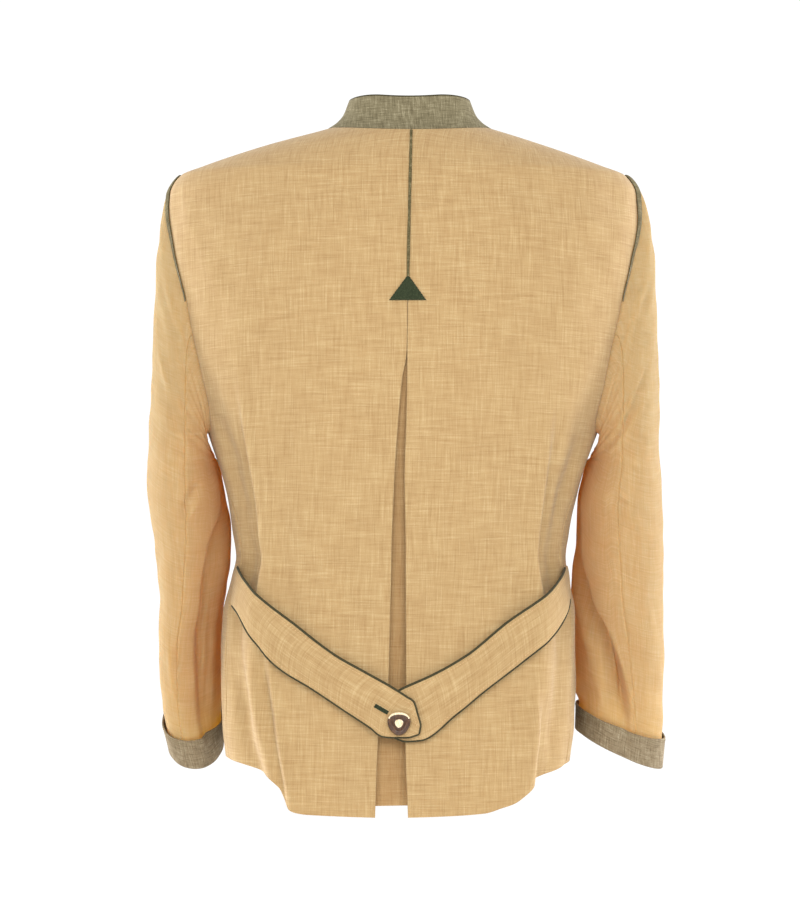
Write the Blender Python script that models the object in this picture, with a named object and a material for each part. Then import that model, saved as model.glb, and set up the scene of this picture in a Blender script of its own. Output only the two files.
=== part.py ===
"""Trachten jacket, worn and seen from the back, as cut and sewn cloth walls.

Metres, +Z up. The wearer faces +Y, +X is the wearer's right, and the origin is the middle of the neck
opening, level with the collar seam at the centre back, where the wearer's neck and shoulders carry it.
"""

import math

import bmesh
import bpy
import numpy as np

MM = 0.001

# Driving dimensions
CLOTH = 1.6 * MM
SEAM_GAP = 0.3 * MM
NECK_SIDE_Z = 8 * MM
SHOULDER_TIP_Z = -40 * MM
UNDERARM_Z = -310 * MM
WAIST_Z = -420 * MM
FRONT_NECK_DROP = 72 * MM
NECK_ROUNDING = 1.7
SIDE_SEAM_DEG = 72.0
UNDERARM_SEAM_DEG = 80.0
ARMHOLE_BACK_DEG = 18.0
ARMHOLE_FRONT_DEG = 29.0
ARMHOLE_TOP_SHARE = 0.8
ARMHOLE_WIDENING_TURNS = (40, 95)

# Body sections: level, half width, back depth, front depth, squareness of the section, sideways lean
BODY_COLUMNS = ("z", "width", "back", "front", "square", "lean")
BODY = np.array([
    (12, 72, 60, 58, 2.0, 4),
    (8, 86, 66, 62, 2.0, 4),
    (-11, 152, 84, 74, 2.0, -1),
    (-32, 213, 97, 86, 2.0, -3),
    (-40, 233, 101, 90, 2.0, -3),
    (-60, 246, 108, 98, 2.0, -3),
    (-100, 250, 120, 114, 2.1, -2),
    (-180, 241, 130, 134, 2.2, -2),
    (-250, 224, 129, 141, 2.3, -2),
    (-310, 204, 124, 137, 2.4, -3),
    (-370, 184, 117, 126, 2.6, -4),
    (-415, 174, 113, 119, 2.7, -5),
    (-438, 171, 114, 120, 2.7, -5),
    (-460, 175, 115, 121, 2.7, -6),
    (-500, 184, 119, 125, 2.7, -7),
    (-550, 185, 123, 129, 2.7, -8),
    (-610, 184, 126, 131, 2.7, -8),
    (-655, 179, 128, 131, 2.7, -8),
    (-705, 172, 130, 131, 2.7, -8),
])

# Hem level on both sides against the angle round the body from the centre back
HEM_COLUMNS = ("degrees", "left", "right")
HEM = np.array([
    (0, -696, -696),
    (22, -694, -693),
    (29, -690, -688),
    (34, -668, -684),
    (41, -658, -673),
    (46, -655, -664),
    (64, -647, -655),
    (72, -646, -651),
    (100, -647, -648),
    (180, -660, -660),
])

# Soft folds of the body: the angle at their upper and lower end, those ends, half width and height
FOLD_COLUMNS = ("top_deg", "bottom_deg", "top_z", "bottom_z", "half_deg", "height")
FOLDS = np.array([
    (-50, -46, -250, -560, 8, 5),
    (-62, -60, -300, -560, 8, -7),
    (50, 47, -260, -560, 8, 5),
    (62, 60, -300, -560, 8, -6),
    (-45, -33, -560, -700, 7, 9),
    (-56, -47, -560, -700, 8, -9),
    (40, 38, -600, -700, 9, 6),
    (56, 52, -590, -700, 9, -7),
])

# How much of a trough's depth is left where a belt bridges it
BRIDGE_SHARE = 0.35

# Pleat edges beside the centre back: level, left edge and right edge
PLEAT_COLUMNS = ("z", "left", "right")
PLEAT = np.array([
    (20, 5.8, 6.2),
    (-155, 1.8, 2.2),
    (-229, 0.8, 1.2),
    (-258, -4, 1),
    (-302, -8, 0.2),
    (-355, -11.5, -1.5),
    (-413, -14, -0.5),
    (-568, -18, 0),
    (-618, -28, -0.5),
    (-698, -31, 2),
])


def smooth(table, column, at):
    """Value of a table's column at the given keys, on a smooth curve through its rows."""
    keys, values = table[:, 0], table[:, column]
    order = np.argsort(keys)
    keys, values = keys[order], values[order]
    chords = np.diff(values) / np.diff(keys)
    slopes = np.concatenate([[chords[0]], np.zeros(len(chords) - 1), [chords[-1]]])
    turning = chords[:-1] * chords[1:] > 0
    both = chords[:-1] + chords[1:]
    slopes[1:-1][turning] = 2 * (chords[:-1] * chords[1:])[turning] / both[turning]
    at = np.clip(np.asarray(at, float), keys[0], keys[-1])
    cell = np.clip(np.searchsorted(keys, at, side="right") - 1, 0, len(chords) - 1)
    span = keys[cell + 1] - keys[cell]
    s = (at - keys[cell]) / span
    return (
        values[cell] * (1 + 2 * s) * (1 - s) ** 2
        + slopes[cell] * span * s * (1 - s) ** 2
        + values[cell + 1] * s * s * (3 - 2 * s)
        + slopes[cell + 1] * span * s * s * (s - 1)
    )


def body_value(name, z):
    """One measure of the body's section at these levels, in metres, or bare for its squareness."""
    found = smooth(BODY, BODY_COLUMNS.index(name), z / MM)
    return found if name == "square" else found * MM


def unit(vectors):
    return vectors / np.linalg.norm(vectors, axis=-1, keepdims=True)


def ease(low, high, value):
    s = np.clip((value - low) / (high - low), 0, 1)
    return s * s * (3 - 2 * s)


def fold_height(degrees, z):
    """How far the soft folds lift the cloth. Degrees are negative on the wearer's left."""
    lift = np.zeros(np.broadcast(degrees, z).shape)
    for row in FOLDS:
        fold = dict(zip(FOLD_COLUMNS, row))
        along = (z / MM - fold["top_z"]) / (fold["bottom_z"] - fold["top_z"])
        middle = fold["top_deg"] + (fold["bottom_deg"] - fold["top_deg"]) * along
        shown = ease(-0.25, 0.3, along) * (1 - ease(1.0, 1.3, along))
        lift += fold["height"] * MM * shown * np.exp(-(((degrees - middle) / fold["half_deg"]) ** 2))
    return lift


def body_raw(degrees, z):
    """Points of the body's cloth without folds. Degrees run from 0 at the centre back to 180 in front."""
    sine, cosine = np.sin(np.radians(degrees)), np.cos(np.radians(degrees))
    power = 2 / body_value("square", z)
    across = body_value("width", z) * np.sign(sine) * np.abs(sine) ** power
    depth = np.where(cosine > 0, -body_value("back", z), body_value("front", z))
    along = depth * np.abs(cosine) ** power
    return np.stack([across + body_value("lean", z), along, z + 0 * across], axis=-1)


def body_normal(degrees, z):
    step_deg, step_z = 0.5, 1 * MM
    round_body = body_raw(degrees + step_deg, z) - body_raw(degrees - step_deg, z)
    up_body = body_raw(degrees, z + step_z) - body_raw(degrees, z - step_z)
    return unit(np.cross(round_body, up_body))


def body(degrees, z, out=0.0, bridged=False):
    """Points on the outside of the body's cloth, moved out. What lies on the cloth may bridge its troughs."""
    degrees, z = np.broadcast_arrays(np.asarray(degrees, float), np.asarray(z, float))
    lift = fold_height(degrees, z)
    if bridged:
        lift = np.maximum(lift, BRIDGE_SHARE * lift)
    return body_raw(degrees, z) + body_normal(degrees, z) * (lift + out)[..., None]


def angle_at(x, z):
    """The angle from the centre back at which the back's cloth is this far across."""
    across = (x - body_value("lean", z)) / body_value("width", z)
    share = np.clip(np.abs(across), 0, 1) ** (body_value("square", z) / 2)
    return np.degrees(np.arcsin(share)) * np.sign(across)


def on_back(x, z, out, bridged=False):
    return body(angle_at(x, z), z, out, bridged)


# Cut of the body: rows of each panel along its outer edge, and columns from the middle to that edge
SEAM_ROWS = 10
ARMHOLE_STEPS = 12
SHOULDER_ROWS = 5
PANEL_COLUMNS = 8
FRONT_OVERLAP = 15 * MM
OVERLAP_EASE = 45 * MM
OVERLAP_LIFT = CLOTH + 1.0 * MM
FRONT_EDGE_COLUMNS = (0, 0.021, 0.045)
LEFT, RIGHT = -1, 1


def seam_degrees(z):
    return SIDE_SEAM_DEG + (UNDERARM_SEAM_DEG - SIDE_SEAM_DEG) * ease(WAIST_Z, UNDERARM_Z, z)


def armhole_place(turn):
    """Level and angle of the armhole edge: turn 0 at the shoulder, 90 behind, 180 underarm, 270 in front."""
    cosine, sine = np.cos(np.radians(turn)), np.sin(np.radians(turn))
    half = (SHOULDER_TIP_Z - UNDERARM_Z) / 2
    z = UNDERARM_Z + half * (1 + cosine)
    middle = 90 + (UNDERARM_SEAM_DEG - 90) * (1 - cosine) / 2
    from_top = np.abs(np.mod(turn + 180, 360) - 180)
    scoop = sine * (ARMHOLE_TOP_SHARE + (1 - ARMHOLE_TOP_SHARE) * ease(*ARMHOLE_WIDENING_TURNS, from_top))
    return z, middle - scoop * np.where(sine > 0, ARMHOLE_BACK_DEG, ARMHOLE_FRONT_DEG)


def edge_place(front, side, e):
    """Level and angle along a panel's outer edge: e 0 to 1 side seam, 1 to 2 armhole, 2 to 3 shoulder."""
    hem_z = hem_level(side, SIDE_SEAM_DEG)
    seam_z = hem_z + (UNDERARM_Z - hem_z) * np.clip(e, 0, 1)
    turn = 180 * (2 - np.clip(e, 1, 2))
    arm_z, arm_deg = armhole_place(360 - turn if front else turn)
    shoulder_z = SHOULDER_TIP_Z + (NECK_SIDE_Z - SHOULDER_TIP_Z) * np.clip(e - 2, 0, 1)
    z = np.where(e <= 1, seam_z, np.where(e <= 2, arm_z, shoulder_z))
    return z, np.where(e <= 1, seam_degrees(seam_z), np.where(e <= 2, arm_deg, 90.0))


def hem_level(side, degrees):
    column = HEM_COLUMNS.index("left" if side == LEFT else "right")
    return smooth(HEM, column, np.abs(degrees)) * MM


def pleat_edge(side, z):
    column = PLEAT_COLUMNS.index("left" if side == LEFT else "right")
    return smooth(PLEAT, column, z / MM) * MM


def panel(front, side, e, f, out=0.0):
    """Points of a body panel: e along its outer edge from the hem up, f from its middle edge outwards."""
    e, f = np.broadcast_arrays(np.asarray(e, float), np.asarray(f, float))
    edge_z, edge_deg = edge_place(front, side, e)
    rise = np.clip((edge_z - UNDERARM_Z) / (NECK_SIDE_Z - UNDERARM_Z), 0, 1)
    drop = NECK_SIDE_Z + (FRONT_NECK_DROP if front else 0)
    z = edge_z - drop * rise * np.cos(np.radians(90 * f)) ** NECK_ROUNDING
    middle_deg = 180.0 if front else 0.0
    flat_deg = middle_deg + (edge_deg - middle_deg) * f
    hem_z = hem_level(side, flat_deg)
    z = np.where(e < 1, hem_z + (UNDERARM_Z - hem_z) * np.clip(e, 0, 1), z)
    share = f + (neckline_share(edge_z, edge_deg, z, f) - f) * rise**2
    if front:
        start = (180 + np.degrees(np.arcsin(
            (FRONT_OVERLAP / body_value("width", z)) ** (body_value("square", z) / 2))))
        deg = side * (start + (edge_deg - start) * share)
        out = out + overlap_lift(side, deg, z)
    else:
        start = angle_at(pleat_edge(side, z), z)
        deg = start + (side * edge_deg - start) * share
    return body(deg, z, out)


def neckline_share(edge_z, edge_deg, z, f):
    """How far round a row lies when its columns spread across evenly, as they do at the neck."""
    edge_share = np.abs(np.sin(np.radians(edge_deg)))
    across = edge_share ** (2 / body_value("square", edge_z)) * body_value("width", edge_z)
    wanted = across * np.sin(np.radians(90 * f)) / body_value("width", z)
    turned = np.arcsin(np.clip(wanted, 0, 1) ** (body_value("square", z) / 2))
    return np.where(f >= 1, 1.0, np.clip(turned / np.arcsin(np.clip(edge_share, 0.01, 1)), 0, 1))


def overlap_lift(side, deg, z):
    """The right front lies on the left one, so it stands out by a cloth's thickness at the closing."""
    if side == LEFT:
        return 0.0
    across = body_raw(deg, z)[..., 0] - body_value("lean", z)
    return OVERLAP_LIFT * (1 - ease(FRONT_OVERLAP, FRONT_OVERLAP + OVERLAP_EASE, across))


# Closed walls from grids of points
def material(name, colour, roughness):
    made = bpy.data.materials.new(name)
    made.use_nodes = True
    shader = made.node_tree.nodes["Principled BSDF"]
    shader.inputs["Base Color"].default_value = (*colour, 1)
    shader.inputs["Roughness"].default_value = roughness
    made.diffuse_color = (*colour, 1)
    return made


def finished(name, shape, finish):
    """The named object of a bmesh, facing out and shaded smooth on its round stretches."""
    bmesh.ops.recalc_face_normals(shape, faces=shape.faces)
    mesh = bpy.data.meshes.new(name)
    shape.to_mesh(mesh)
    shape.free()
    mesh.shade_smooth()
    mesh.set_sharp_from_angle(angle=math.radians(50))
    mesh.materials.append(finish)
    made = bpy.data.objects.new(name, mesh)
    bpy.context.scene.collection.objects.link(made)
    return made


def wall(name, outer, inner, finish, ring=False):
    """A closed solid between two grids of points, rows by columns. A ring's columns meet round a hollow."""
    rows, columns = outer.shape[:2]
    shape = bmesh.new()
    faces = [[shape.verts.new(p) for p in grid.reshape(-1, 3)] for grid in (outer, inner)]

    def corner(layer, row, column):
        return faces[layer][row * columns + column % columns]

    last = columns if ring else columns - 1
    for row in range(rows - 1):
        for column in range(last):
            square = [(row, column), (row, column + 1), (row + 1, column + 1), (row + 1, column)]
            shape.faces.new([corner(0, *c) for c in square])
            shape.faces.new([corner(1, *c) for c in reversed(square)])
    rim = [[(0, c + 1), (0, c)] for c in range(last)]
    rim += [[(rows - 1, c), (rows - 1, c + 1)] for c in range(last)]
    if not ring:
        rim += [[(r, 0), (r + 1, 0)] for r in range(rows - 1)]
        rim += [[(r + 1, columns - 1), (r, columns - 1)] for r in range(rows - 1)]
    for a, b in rim:
        shape.faces.new([corner(0, *a), corner(0, *b), corner(1, *b), corner(1, *a)])
    return finished(name, shape, finish)


def lathe(name, rings, finish):
    """A closed solid through rings of as many points each, with a flat end on the first and the last."""
    shape = bmesh.new()
    verts = [[shape.verts.new(p) for p in ring] for ring in rings]
    sides = len(verts[0])
    for a, b in zip(verts[:-1], verts[1:]):
        for i in range(sides):
            shape.faces.new([a[i], a[(i + 1) % sides], b[(i + 1) % sides], b[i]])
    shape.faces.new(verts[0])
    shape.faces.new(verts[-1])
    return finished(name, shape, finish)


def cord(name, path, finish):
    """A round piping solid along a path."""
    along = unit(np.gradient(path, axis=0))
    aside = unit(np.cross(along, np.array([0.1, 0.2, 1.0])))[:, None]
    other = np.cross(along[:, None], aside)
    angles = np.linspace(0, 2 * np.pi, PIPING_SIDES, endpoint=False)[None, :, None]
    rings = path[:, None] + PIPING_RADIUS * (np.cos(angles) * aside + np.sin(angles) * other)
    return lathe(name, rings, finish)


def panel_rows():
    seam = np.linspace(0, 1, SEAM_ROWS, endpoint=False)
    arm = np.linspace(1, 2, ARMHOLE_STEPS, endpoint=False)
    shoulder = np.linspace(2, 3, SHOULDER_ROWS + 1)
    return np.concatenate([seam, arm, shoulder])[:, None]


def seam_clear(points, low_edge, high_edge):
    """Draws a grid's two side edges in by half a seam's gap, towards their own panel."""
    moved = points.copy()
    for shown, edge, beside in ((low_edge, 0, 1), (high_edge, -1, -2)):
        if shown:
            inward = unit(points[:, beside] - points[:, edge])
            moved[:, edge] = points[:, edge] + inward * SEAM_GAP / 2
    return moved


def body_panel(name, front, side, finish):
    e, f = panel_rows(), np.linspace(0, 1, PANEL_COLUMNS + 1)
    f = np.concatenate([FRONT_EDGE_COLUMNS, f[1:]]) if front else f
    outer, inner = (seam_clear(panel(front, side, e, f, out), False, True) for out in (0, -CLOTH))
    return wall(name, outer, inner, finish)


# Sleeves: rings from the underarm to the cuff, their middle, half width and half depth, the forward tilt,
# the turn about the sleeve, the tilt sideways, and the rim from which the empty cloth falls in behind the
# arm: the rim's turn, and how deep the cloth falls as a share of the radius
SLEEVE_COLUMNS = ("z", "x", "y", "half_width", "half_depth", "tilt", "twist", "roll", "rim", "trough")
SLEEVES = {
    LEFT: np.array([
        (-340, -235.5, 0, 35.5, 66, 4, 0, 0, 170, 0.0),
        (-380, -230.5, 3, 39, 64, 6, -5, 0, 166, 0.12),
        (-428, -225, 8, 36, 62, 9, -11, 0, 140, 0.36),
        (-473, -224.5, 16, 31, 61, 13, -14, 0, 136, 0.42),
        (-518, -227.5, 26, 28, 59, 17, -17, 2, 136, 0.40),
        (-568, -227.5, 38, 27, 56, 21, -19, 7, 139, 0.34),
        (-608, -226.5, 46, 25, 52, 23, -17, 20, 142, 0.14),
        (-641, -224, 50, 23, 49, 22, -14, 31, 142, 0.0),
    ]),
    RIGHT: np.array([
        (-340, 230.5, 0, 36, 66, 4, 0, 0, 170, 0.0),
        (-380, 226.5, 3, 42.5, 64, 5, 2, 0, 168, 0.08),
        (-428, 225.5, 8, 45, 62, 7, 6, 0, 166, 0.25),
        (-473, 225.5, 16, 45, 60, 10, 10, 0, 150, 0.42),
        (-518, 227, 25, 44.5, 57, 13, 16, -4, 127, 0.48),
        (-568, 228.5, 34, 43, 52, 17, 23, -13, 114, 0.45),
        (-608, 229, 41, 42.5, 48, 20, 28, -24, 110, 0.12),
        (-645, 227.5, 46, 43, 45, 22, 30, -32, 106, 0.0),
    ]),
}
SLEEVE_TURN_STEP = 15
BACK_SEAM_TURN, FRONT_SEAM_TURN = 105, 240
RIM_BEFORE, RIM_DEEP, RIM_END = 6, 18, 56
CAP_BULGE = {LEFT: 9 * MM, RIGHT: 15 * MM}
UNDERARM_CLEAR = 4 * MM
CAP_BLENDS = (0, 0.035, 0.1, 0.25, 0.44, 0.64, 0.83)
SLEEVE_ROWS = 9
CUFF_HEIGHT = 31 * MM
CUFF_ROWS = 3
CUFF_OFF = 0.8 * MM
CUFF_THICK = 2 * MM


def sleeve_ring(side, z, turn):
    """Points of a sleeve below the underarm, on the ring whose middle is at this level."""
    x, y, half_width, half_depth, tilt, twist, roll, rim, trough = (
        smooth(SLEEVES[side], c, z / MM) for c in range(1, len(SLEEVE_COLUMNS)))
    tilt, twist, roll, angle = np.radians(tilt), np.radians(twist), np.radians(roll), np.radians(turn)
    past = turn - rim
    radius = 1 - trough * ease(-RIM_BEFORE, RIM_DEEP, past) * (1 - ease(RIM_DEEP, RIM_END, past))
    outwards = half_width * radius * np.cos(angle)
    across = side * outwards
    deep = -half_depth * radius * np.sin(angle)
    forward = across * np.sin(twist) + deep * np.cos(twist)
    return np.stack([
        (x + across * np.cos(twist) - deep * np.sin(twist)) * MM,
        (y + forward * np.cos(tilt)) * MM,
        z + (forward * np.sin(tilt) + outwards * np.sin(roll)) * MM,
    ], axis=-1)


def armhole(side, turn, out=0.0):
    z, degrees = armhole_place(turn)
    return body(side * degrees, z, out)


def armhole_outwards(side, turn):
    """Unit vectors that lie in the body's cloth and point out of it across the armhole seam."""
    along = armhole(side, turn + 1) - armhole(side, turn - 1)
    z, degrees = armhole_place(turn)
    return unit(np.cross(along, body_normal(side * degrees, z))) * -side


def sleeve(side, k, turn):
    """Outside of a sleeve: k 0 to 1 from the armhole over the cap, 1 to 2 from the underarm to the cuff."""
    k, turn = np.broadcast_arrays(np.asarray(k, float), np.asarray(turn, float))
    turn = np.mod(turn, 360)
    levels = SLEEVES[side][:, 0]
    ring_z = (levels[0] + (levels[-1] - levels[0]) * np.clip(k - 1, 0, 1)) * MM
    ring = sleeve_ring(side, ring_z, turn)
    blend = np.clip(k, 0, 1)[..., None]
    start = armhole(side, turn) + armhole_outwards(side, turn) * SEAM_GAP
    upper = ((1 + np.cos(np.radians(turn))) / 2)[..., None] ** 1.2
    swell = CAP_BULGE[side] * np.sin(np.pi * blend**0.5) * upper
    z, degrees = armhole_place(turn)
    clear = UNDERARM_CLEAR * np.sin(np.pi * blend**0.4) * (1 - upper)
    lifted = swell * unit(np.array([side, 0, 0.3])) + clear * body_normal(side * degrees, z)
    return start + (ring - start) * blend + lifted


def grid_normals(points, ring):
    """Normals of a grid whose columns run round and whose rows run along it."""
    if ring:
        round_it = np.roll(points, -1, axis=1) - np.roll(points, 1, axis=1)
    else:
        round_it = np.gradient(points, axis=1)
    return unit(np.cross(round_it, np.gradient(points, axis=0)))


def sleeve_grid(side, k):
    """Outer and inner points of a whole sleeve, rows along k and columns round it."""
    turn = np.arange(0, 360, SLEEVE_TURN_STEP)[None, :]
    outer = sleeve(side, k[:, None], turn)
    inward = -grid_normals(outer, True) * side
    across = armhole_outwards(side, turn[0])
    into_panel = np.minimum(np.sum(inward[0] * across, axis=-1, keepdims=True), 0)
    inward[0] = unit(inward[0] - into_panel * across)
    return outer, outer + inward * CLOTH


def cuff_levels(side):
    length = (SLEEVES[side][0, 0] - SLEEVES[side][-1, 0]) * MM
    return np.linspace(2 - CUFF_HEIGHT / length, 2, CUFF_ROWS + 1)


def sleeve_levels(side):
    cuffed = cuff_levels(side)
    return np.concatenate([CAP_BLENDS, np.linspace(1, cuffed[0], SLEEVE_ROWS, endpoint=False), cuffed])


def sleeve_panels(name, side, finish):
    """The top and under sleeve, parted at the back and front seams."""
    outer, inner = sleeve_grid(side, sleeve_levels(side))
    back, front = BACK_SEAM_TURN // SLEEVE_TURN_STEP, FRONT_SEAM_TURN // SLEEVE_TURN_STEP
    count = 360 // SLEEVE_TURN_STEP
    for part, first, last in (("top", front, back + count), ("under", back, front)):
        columns = np.arange(first, last + 1) % count
        grids = [seam_clear(grid[:, columns], True, True) for grid in (outer, inner)]
        wall(f"{part}_{name}", *grids, finish)


def cuff(name, side, finish):
    """A turned-back band round the sleeve's end, standing just off it."""
    turn = np.arange(0, 360, SLEEVE_TURN_STEP)
    sleeve_end = sleeve(side, cuff_levels(side)[:, None], turn[None, :])
    normals = grid_normals(sleeve_end, True) * side
    outer, inner = (sleeve_end + normals * off for off in (CUFF_OFF + CUFF_THICK, CUFF_OFF))
    return wall(name, outer, inner, finish, ring=True)


# Collar band
COLLAR_COLUMNS = ("share", "up", "inward")
COLLAR = np.array([(0.0, 0.4, 0.0), (0.2, 8, 9), (0.5, 18, 16), (1.0, 36, 22)])
COLLAR_FRONT_GAP = 0.1
COLLAR_SIDE_DROP, COLLAR_DROP_PLACES = 0.2, (0.15, 0.5)
COLLAR_ROWS = 5


def neckline(s):
    """The collar seam: s is 0 at the centre back, 0.5 at the shoulder, 1 in front, negative on the left."""
    points = []
    for value in s:
        front = abs(value) > 0.5
        f = 2 * (1 - abs(value)) if front else 2 * abs(value)
        points.append(panel(front, LEFT if value < 0 else RIGHT, 3.0, f))
    return np.array(points)


def collar_columns():
    back = np.linspace(0, 0.5, PANEL_COLUMNS + 1)
    front = np.linspace(0.5, 1, PANEL_COLUMNS + 1)[1:-1]
    half = np.concatenate([back, front, [1 - COLLAR_FRONT_GAP / 2]])
    return np.concatenate([-half[:0:-1], half])


def collar_points(share, s, out=0.0):
    base = neckline(s)
    inward = -base * [1, 1, 0]
    inward = unit(inward)
    low = 1 - COLLAR_SIDE_DROP * ease(*COLLAR_DROP_PLACES, np.abs(s))[None, :, None]
    up = smooth(COLLAR, COLLAR_COLUMNS.index("up"), share)[:, None, None] * low * MM
    lean = (smooth(COLLAR, COLLAR_COLUMNS.index("inward"), share) * MM - out)[:, None, None]
    return base[None] + up * np.array([0, 0, 1]) + lean * inward[None]


def collar(name, finish):
    share, s = np.linspace(0, 1, COLLAR_ROWS), collar_columns()
    return wall(name, collar_points(share, s), collar_points(share, s, -CLOTH), finish)


# Back belt in two halves: upper edge and lower edge, from the side seam to the buttoned end
BELT_COLUMNS = ("station", "upper_x", "upper_z", "lower_x", "lower_z", "out")
BELT_LEFT = np.array([
    (0, -173, -447, -178, -486, 0.9),
    (0.07, -160, -461, -166, -495, 3.2),
    (0.15, -145, -478, -155, -513, 3.5),
    (0.3, -113, -503, -128, -545, 3.5),
    (0.5, -72, -534, -92, -568, 3.5),
    (0.65, -40, -552, -62, -588, 4.5),
    (0.8, -13, -567, -36, -605, 6.5),
    (0.88, 1, -576, -23, -614, 7.2),
    (0.91, 7, -580, -14, -615, 7.2),
    (0.95, 10.5, -591, 0, -615, 7.2),
    (1, 14, -603, 12.5, -612, 7.2),
])
BELT_RIGHT = np.array([
    (0, 165, -448, 168, -479, 0.9),
    (0.07, 152, -461, 160, -494, 3.2),
    (0.15, 139, -475, 147, -513, 3.5),
    (0.35, 100, -503, 118, -539, 3.5),
    (0.55, 62, -534, 80, -568, 3.5),
    (0.75, 27, -554, 48, -594, 3.5),
    (0.9, -4, -568, 15, -618, 3.5),
    (0.96, -14, -574, 0, -619, 3.5),
    (1, -22, -583, -13, -615, 3.5),
])
BELT_THICK = 2.2 * MM
BELT_STATIONS = 26
BELT_ACROSS = 4
PIPING_RADIUS = 1.2 * MM
PIPING_SIDES = 5


def belt_points(table, station, share, lift):
    """Points of a belt half: station along it, share from its upper to its lower edge, lift off the cloth."""
    upper_x, upper_z, lower_x, lower_z, out = (
        smooth(table, c, station) * MM for c in range(1, len(BELT_COLUMNS)))
    x = upper_x + (lower_x - upper_x) * share
    z = upper_z + (lower_z - upper_z) * share
    return on_back(x, z, out + lift, True)


def belt(name, table, finish):
    station = np.linspace(0, 1, BELT_STATIONS)[:, None]
    share = np.linspace(0, 1, BELT_ACROSS)[None, :]
    outer, inner = (belt_points(table, station, share, lift) for lift in (BELT_THICK, 0))
    return wall(name, outer, inner, finish)


# Pleat insert behind the back's opening: level, half width, and how far it lies under the back's cloth
INSERT_COLUMNS = ("z", "half_width", "under")
INSERT = np.array([
    (-165, 16, 2.6),
    (-230, 30, 4),
    (-300, 40, 7),
    (-420, 46, 9),
    (-560, 50, 11),
    (-685, 54, 14),
])
INSERT_LEFT_UNDER = 2.6 * MM
INSERT_ROWS, INSERT_ACROSS = 14, 8


def pleat_insert(name, finish):
    """The cloth that shows where the pleat falls open, hung under both back panels."""
    z = np.linspace(INSERT[0, 0], INSERT[-1, 0], INSERT_ROWS + 1)[:, None] * MM
    half = smooth(INSERT, INSERT_COLUMNS.index("half_width"), z / MM) * MM
    deepest = smooth(INSERT, INSERT_COLUMNS.index("under"), z / MM) * MM
    share = np.linspace(-1, 1, INSERT_ACROSS + 1)[None, :]
    under = INSERT_LEFT_UNDER + (deepest - INSERT_LEFT_UNDER) * ease(-1, 0.4, share)
    middle = (pleat_edge(LEFT, z) + pleat_edge(RIGHT, z)) / 2
    x = middle + half * share
    outer, inner = (on_back(x, z + 0 * x, lift - under) for lift in (0, -CLOTH))
    return wall(name, outer, inner, finish)


# Flat trims on the back
STRIP_HALF_WIDTH = 1.4 * MM
STRIP_TOP_Z, STRIP_LOW_Z = -2 * MM, -154 * MM
STRIP_LEVELS, TRIANGLE_LEVELS, TRIANGLE_ACROSS = 13, 5, 4
TRIM_OFF, TRIM_THICK = 0.8 * MM, 1.2 * MM
TRIANGLE_TOP_Z, TRIANGLE_LOW_Z = -154.5 * MM, -178 * MM
TRIANGLE_HALF_WIDTH = 18.5 * MM


def back_trim(name, levels, half_widths, across, finish):
    """A flat trim that lies over the centre back seam, with a half width at each level."""
    z = np.array(levels)[:, None]
    middle = (pleat_edge(LEFT, z) + pleat_edge(RIGHT, z)) / 2
    x = middle + np.array(half_widths)[:, None] * np.linspace(-1, 1, across + 1)[None, :]
    outer, inner = (on_back(x, z + 0 * x, TRIM_OFF + lift) for lift in (TRIM_THICK, 0))
    return wall(name, outer, inner, finish)


def centre_strip(name, finish):
    levels = np.linspace(STRIP_LOW_Z, STRIP_TOP_Z, STRIP_LEVELS)
    return back_trim(name, levels, np.full(STRIP_LEVELS, STRIP_HALF_WIDTH), 1, finish)


def triangle(name, finish):
    share = np.linspace(0, 1, TRIANGLE_LEVELS)
    levels = TRIANGLE_LOW_Z + (TRIANGLE_TOP_Z - TRIANGLE_LOW_Z) * share
    half_widths = TRIANGLE_HALF_WIDTH + (STRIP_HALF_WIDTH - TRIANGLE_HALF_WIDTH) * share
    return back_trim(name, levels, half_widths, TRIANGLE_ACROSS, finish)


# Inset strips in the sleeve head seams: the turn along the armhole, and the strip's width there
INSET_COLUMNS = ("turn", "width")
INSET = np.array([(-60, 1.5), (-45, 2.5), (-15, 4.5), (15, 5.5), (30, 5.5), (45, 4.5), (75, 1.8), (90, 1.2)])
INSET_THICK = 1 * MM
INSET_CLEAR = 0.6 * MM


def sleeve_inset(name, side, finish):
    """An olive strip on the sleeve head, along the armhole seam and widest over the shoulder."""
    turn = np.arange(INSET[0, 0], INSET[-1, 0] + 1, SLEEVE_TURN_STEP)
    columns = (turn // SLEEVE_TURN_STEP).astype(int)
    outer, inner = (grid[:, columns] for grid in sleeve_grid(side, sleeve_levels(side)))
    off = unit(outer[0] - inner[0] + outer[1] - inner[1])
    away = unit(outer[1] - outer[0])
    width = smooth(INSET, INSET_COLUMNS.index("width"), turn)[:, None] * MM
    low = np.stack([outer[0] + away * INSET_CLEAR, outer[0] + away * (INSET_CLEAR + width)])
    return wall(name, low + off * (INSET_CLEAR + INSET_THICK), low + off * INSET_CLEAR, finish)


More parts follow.
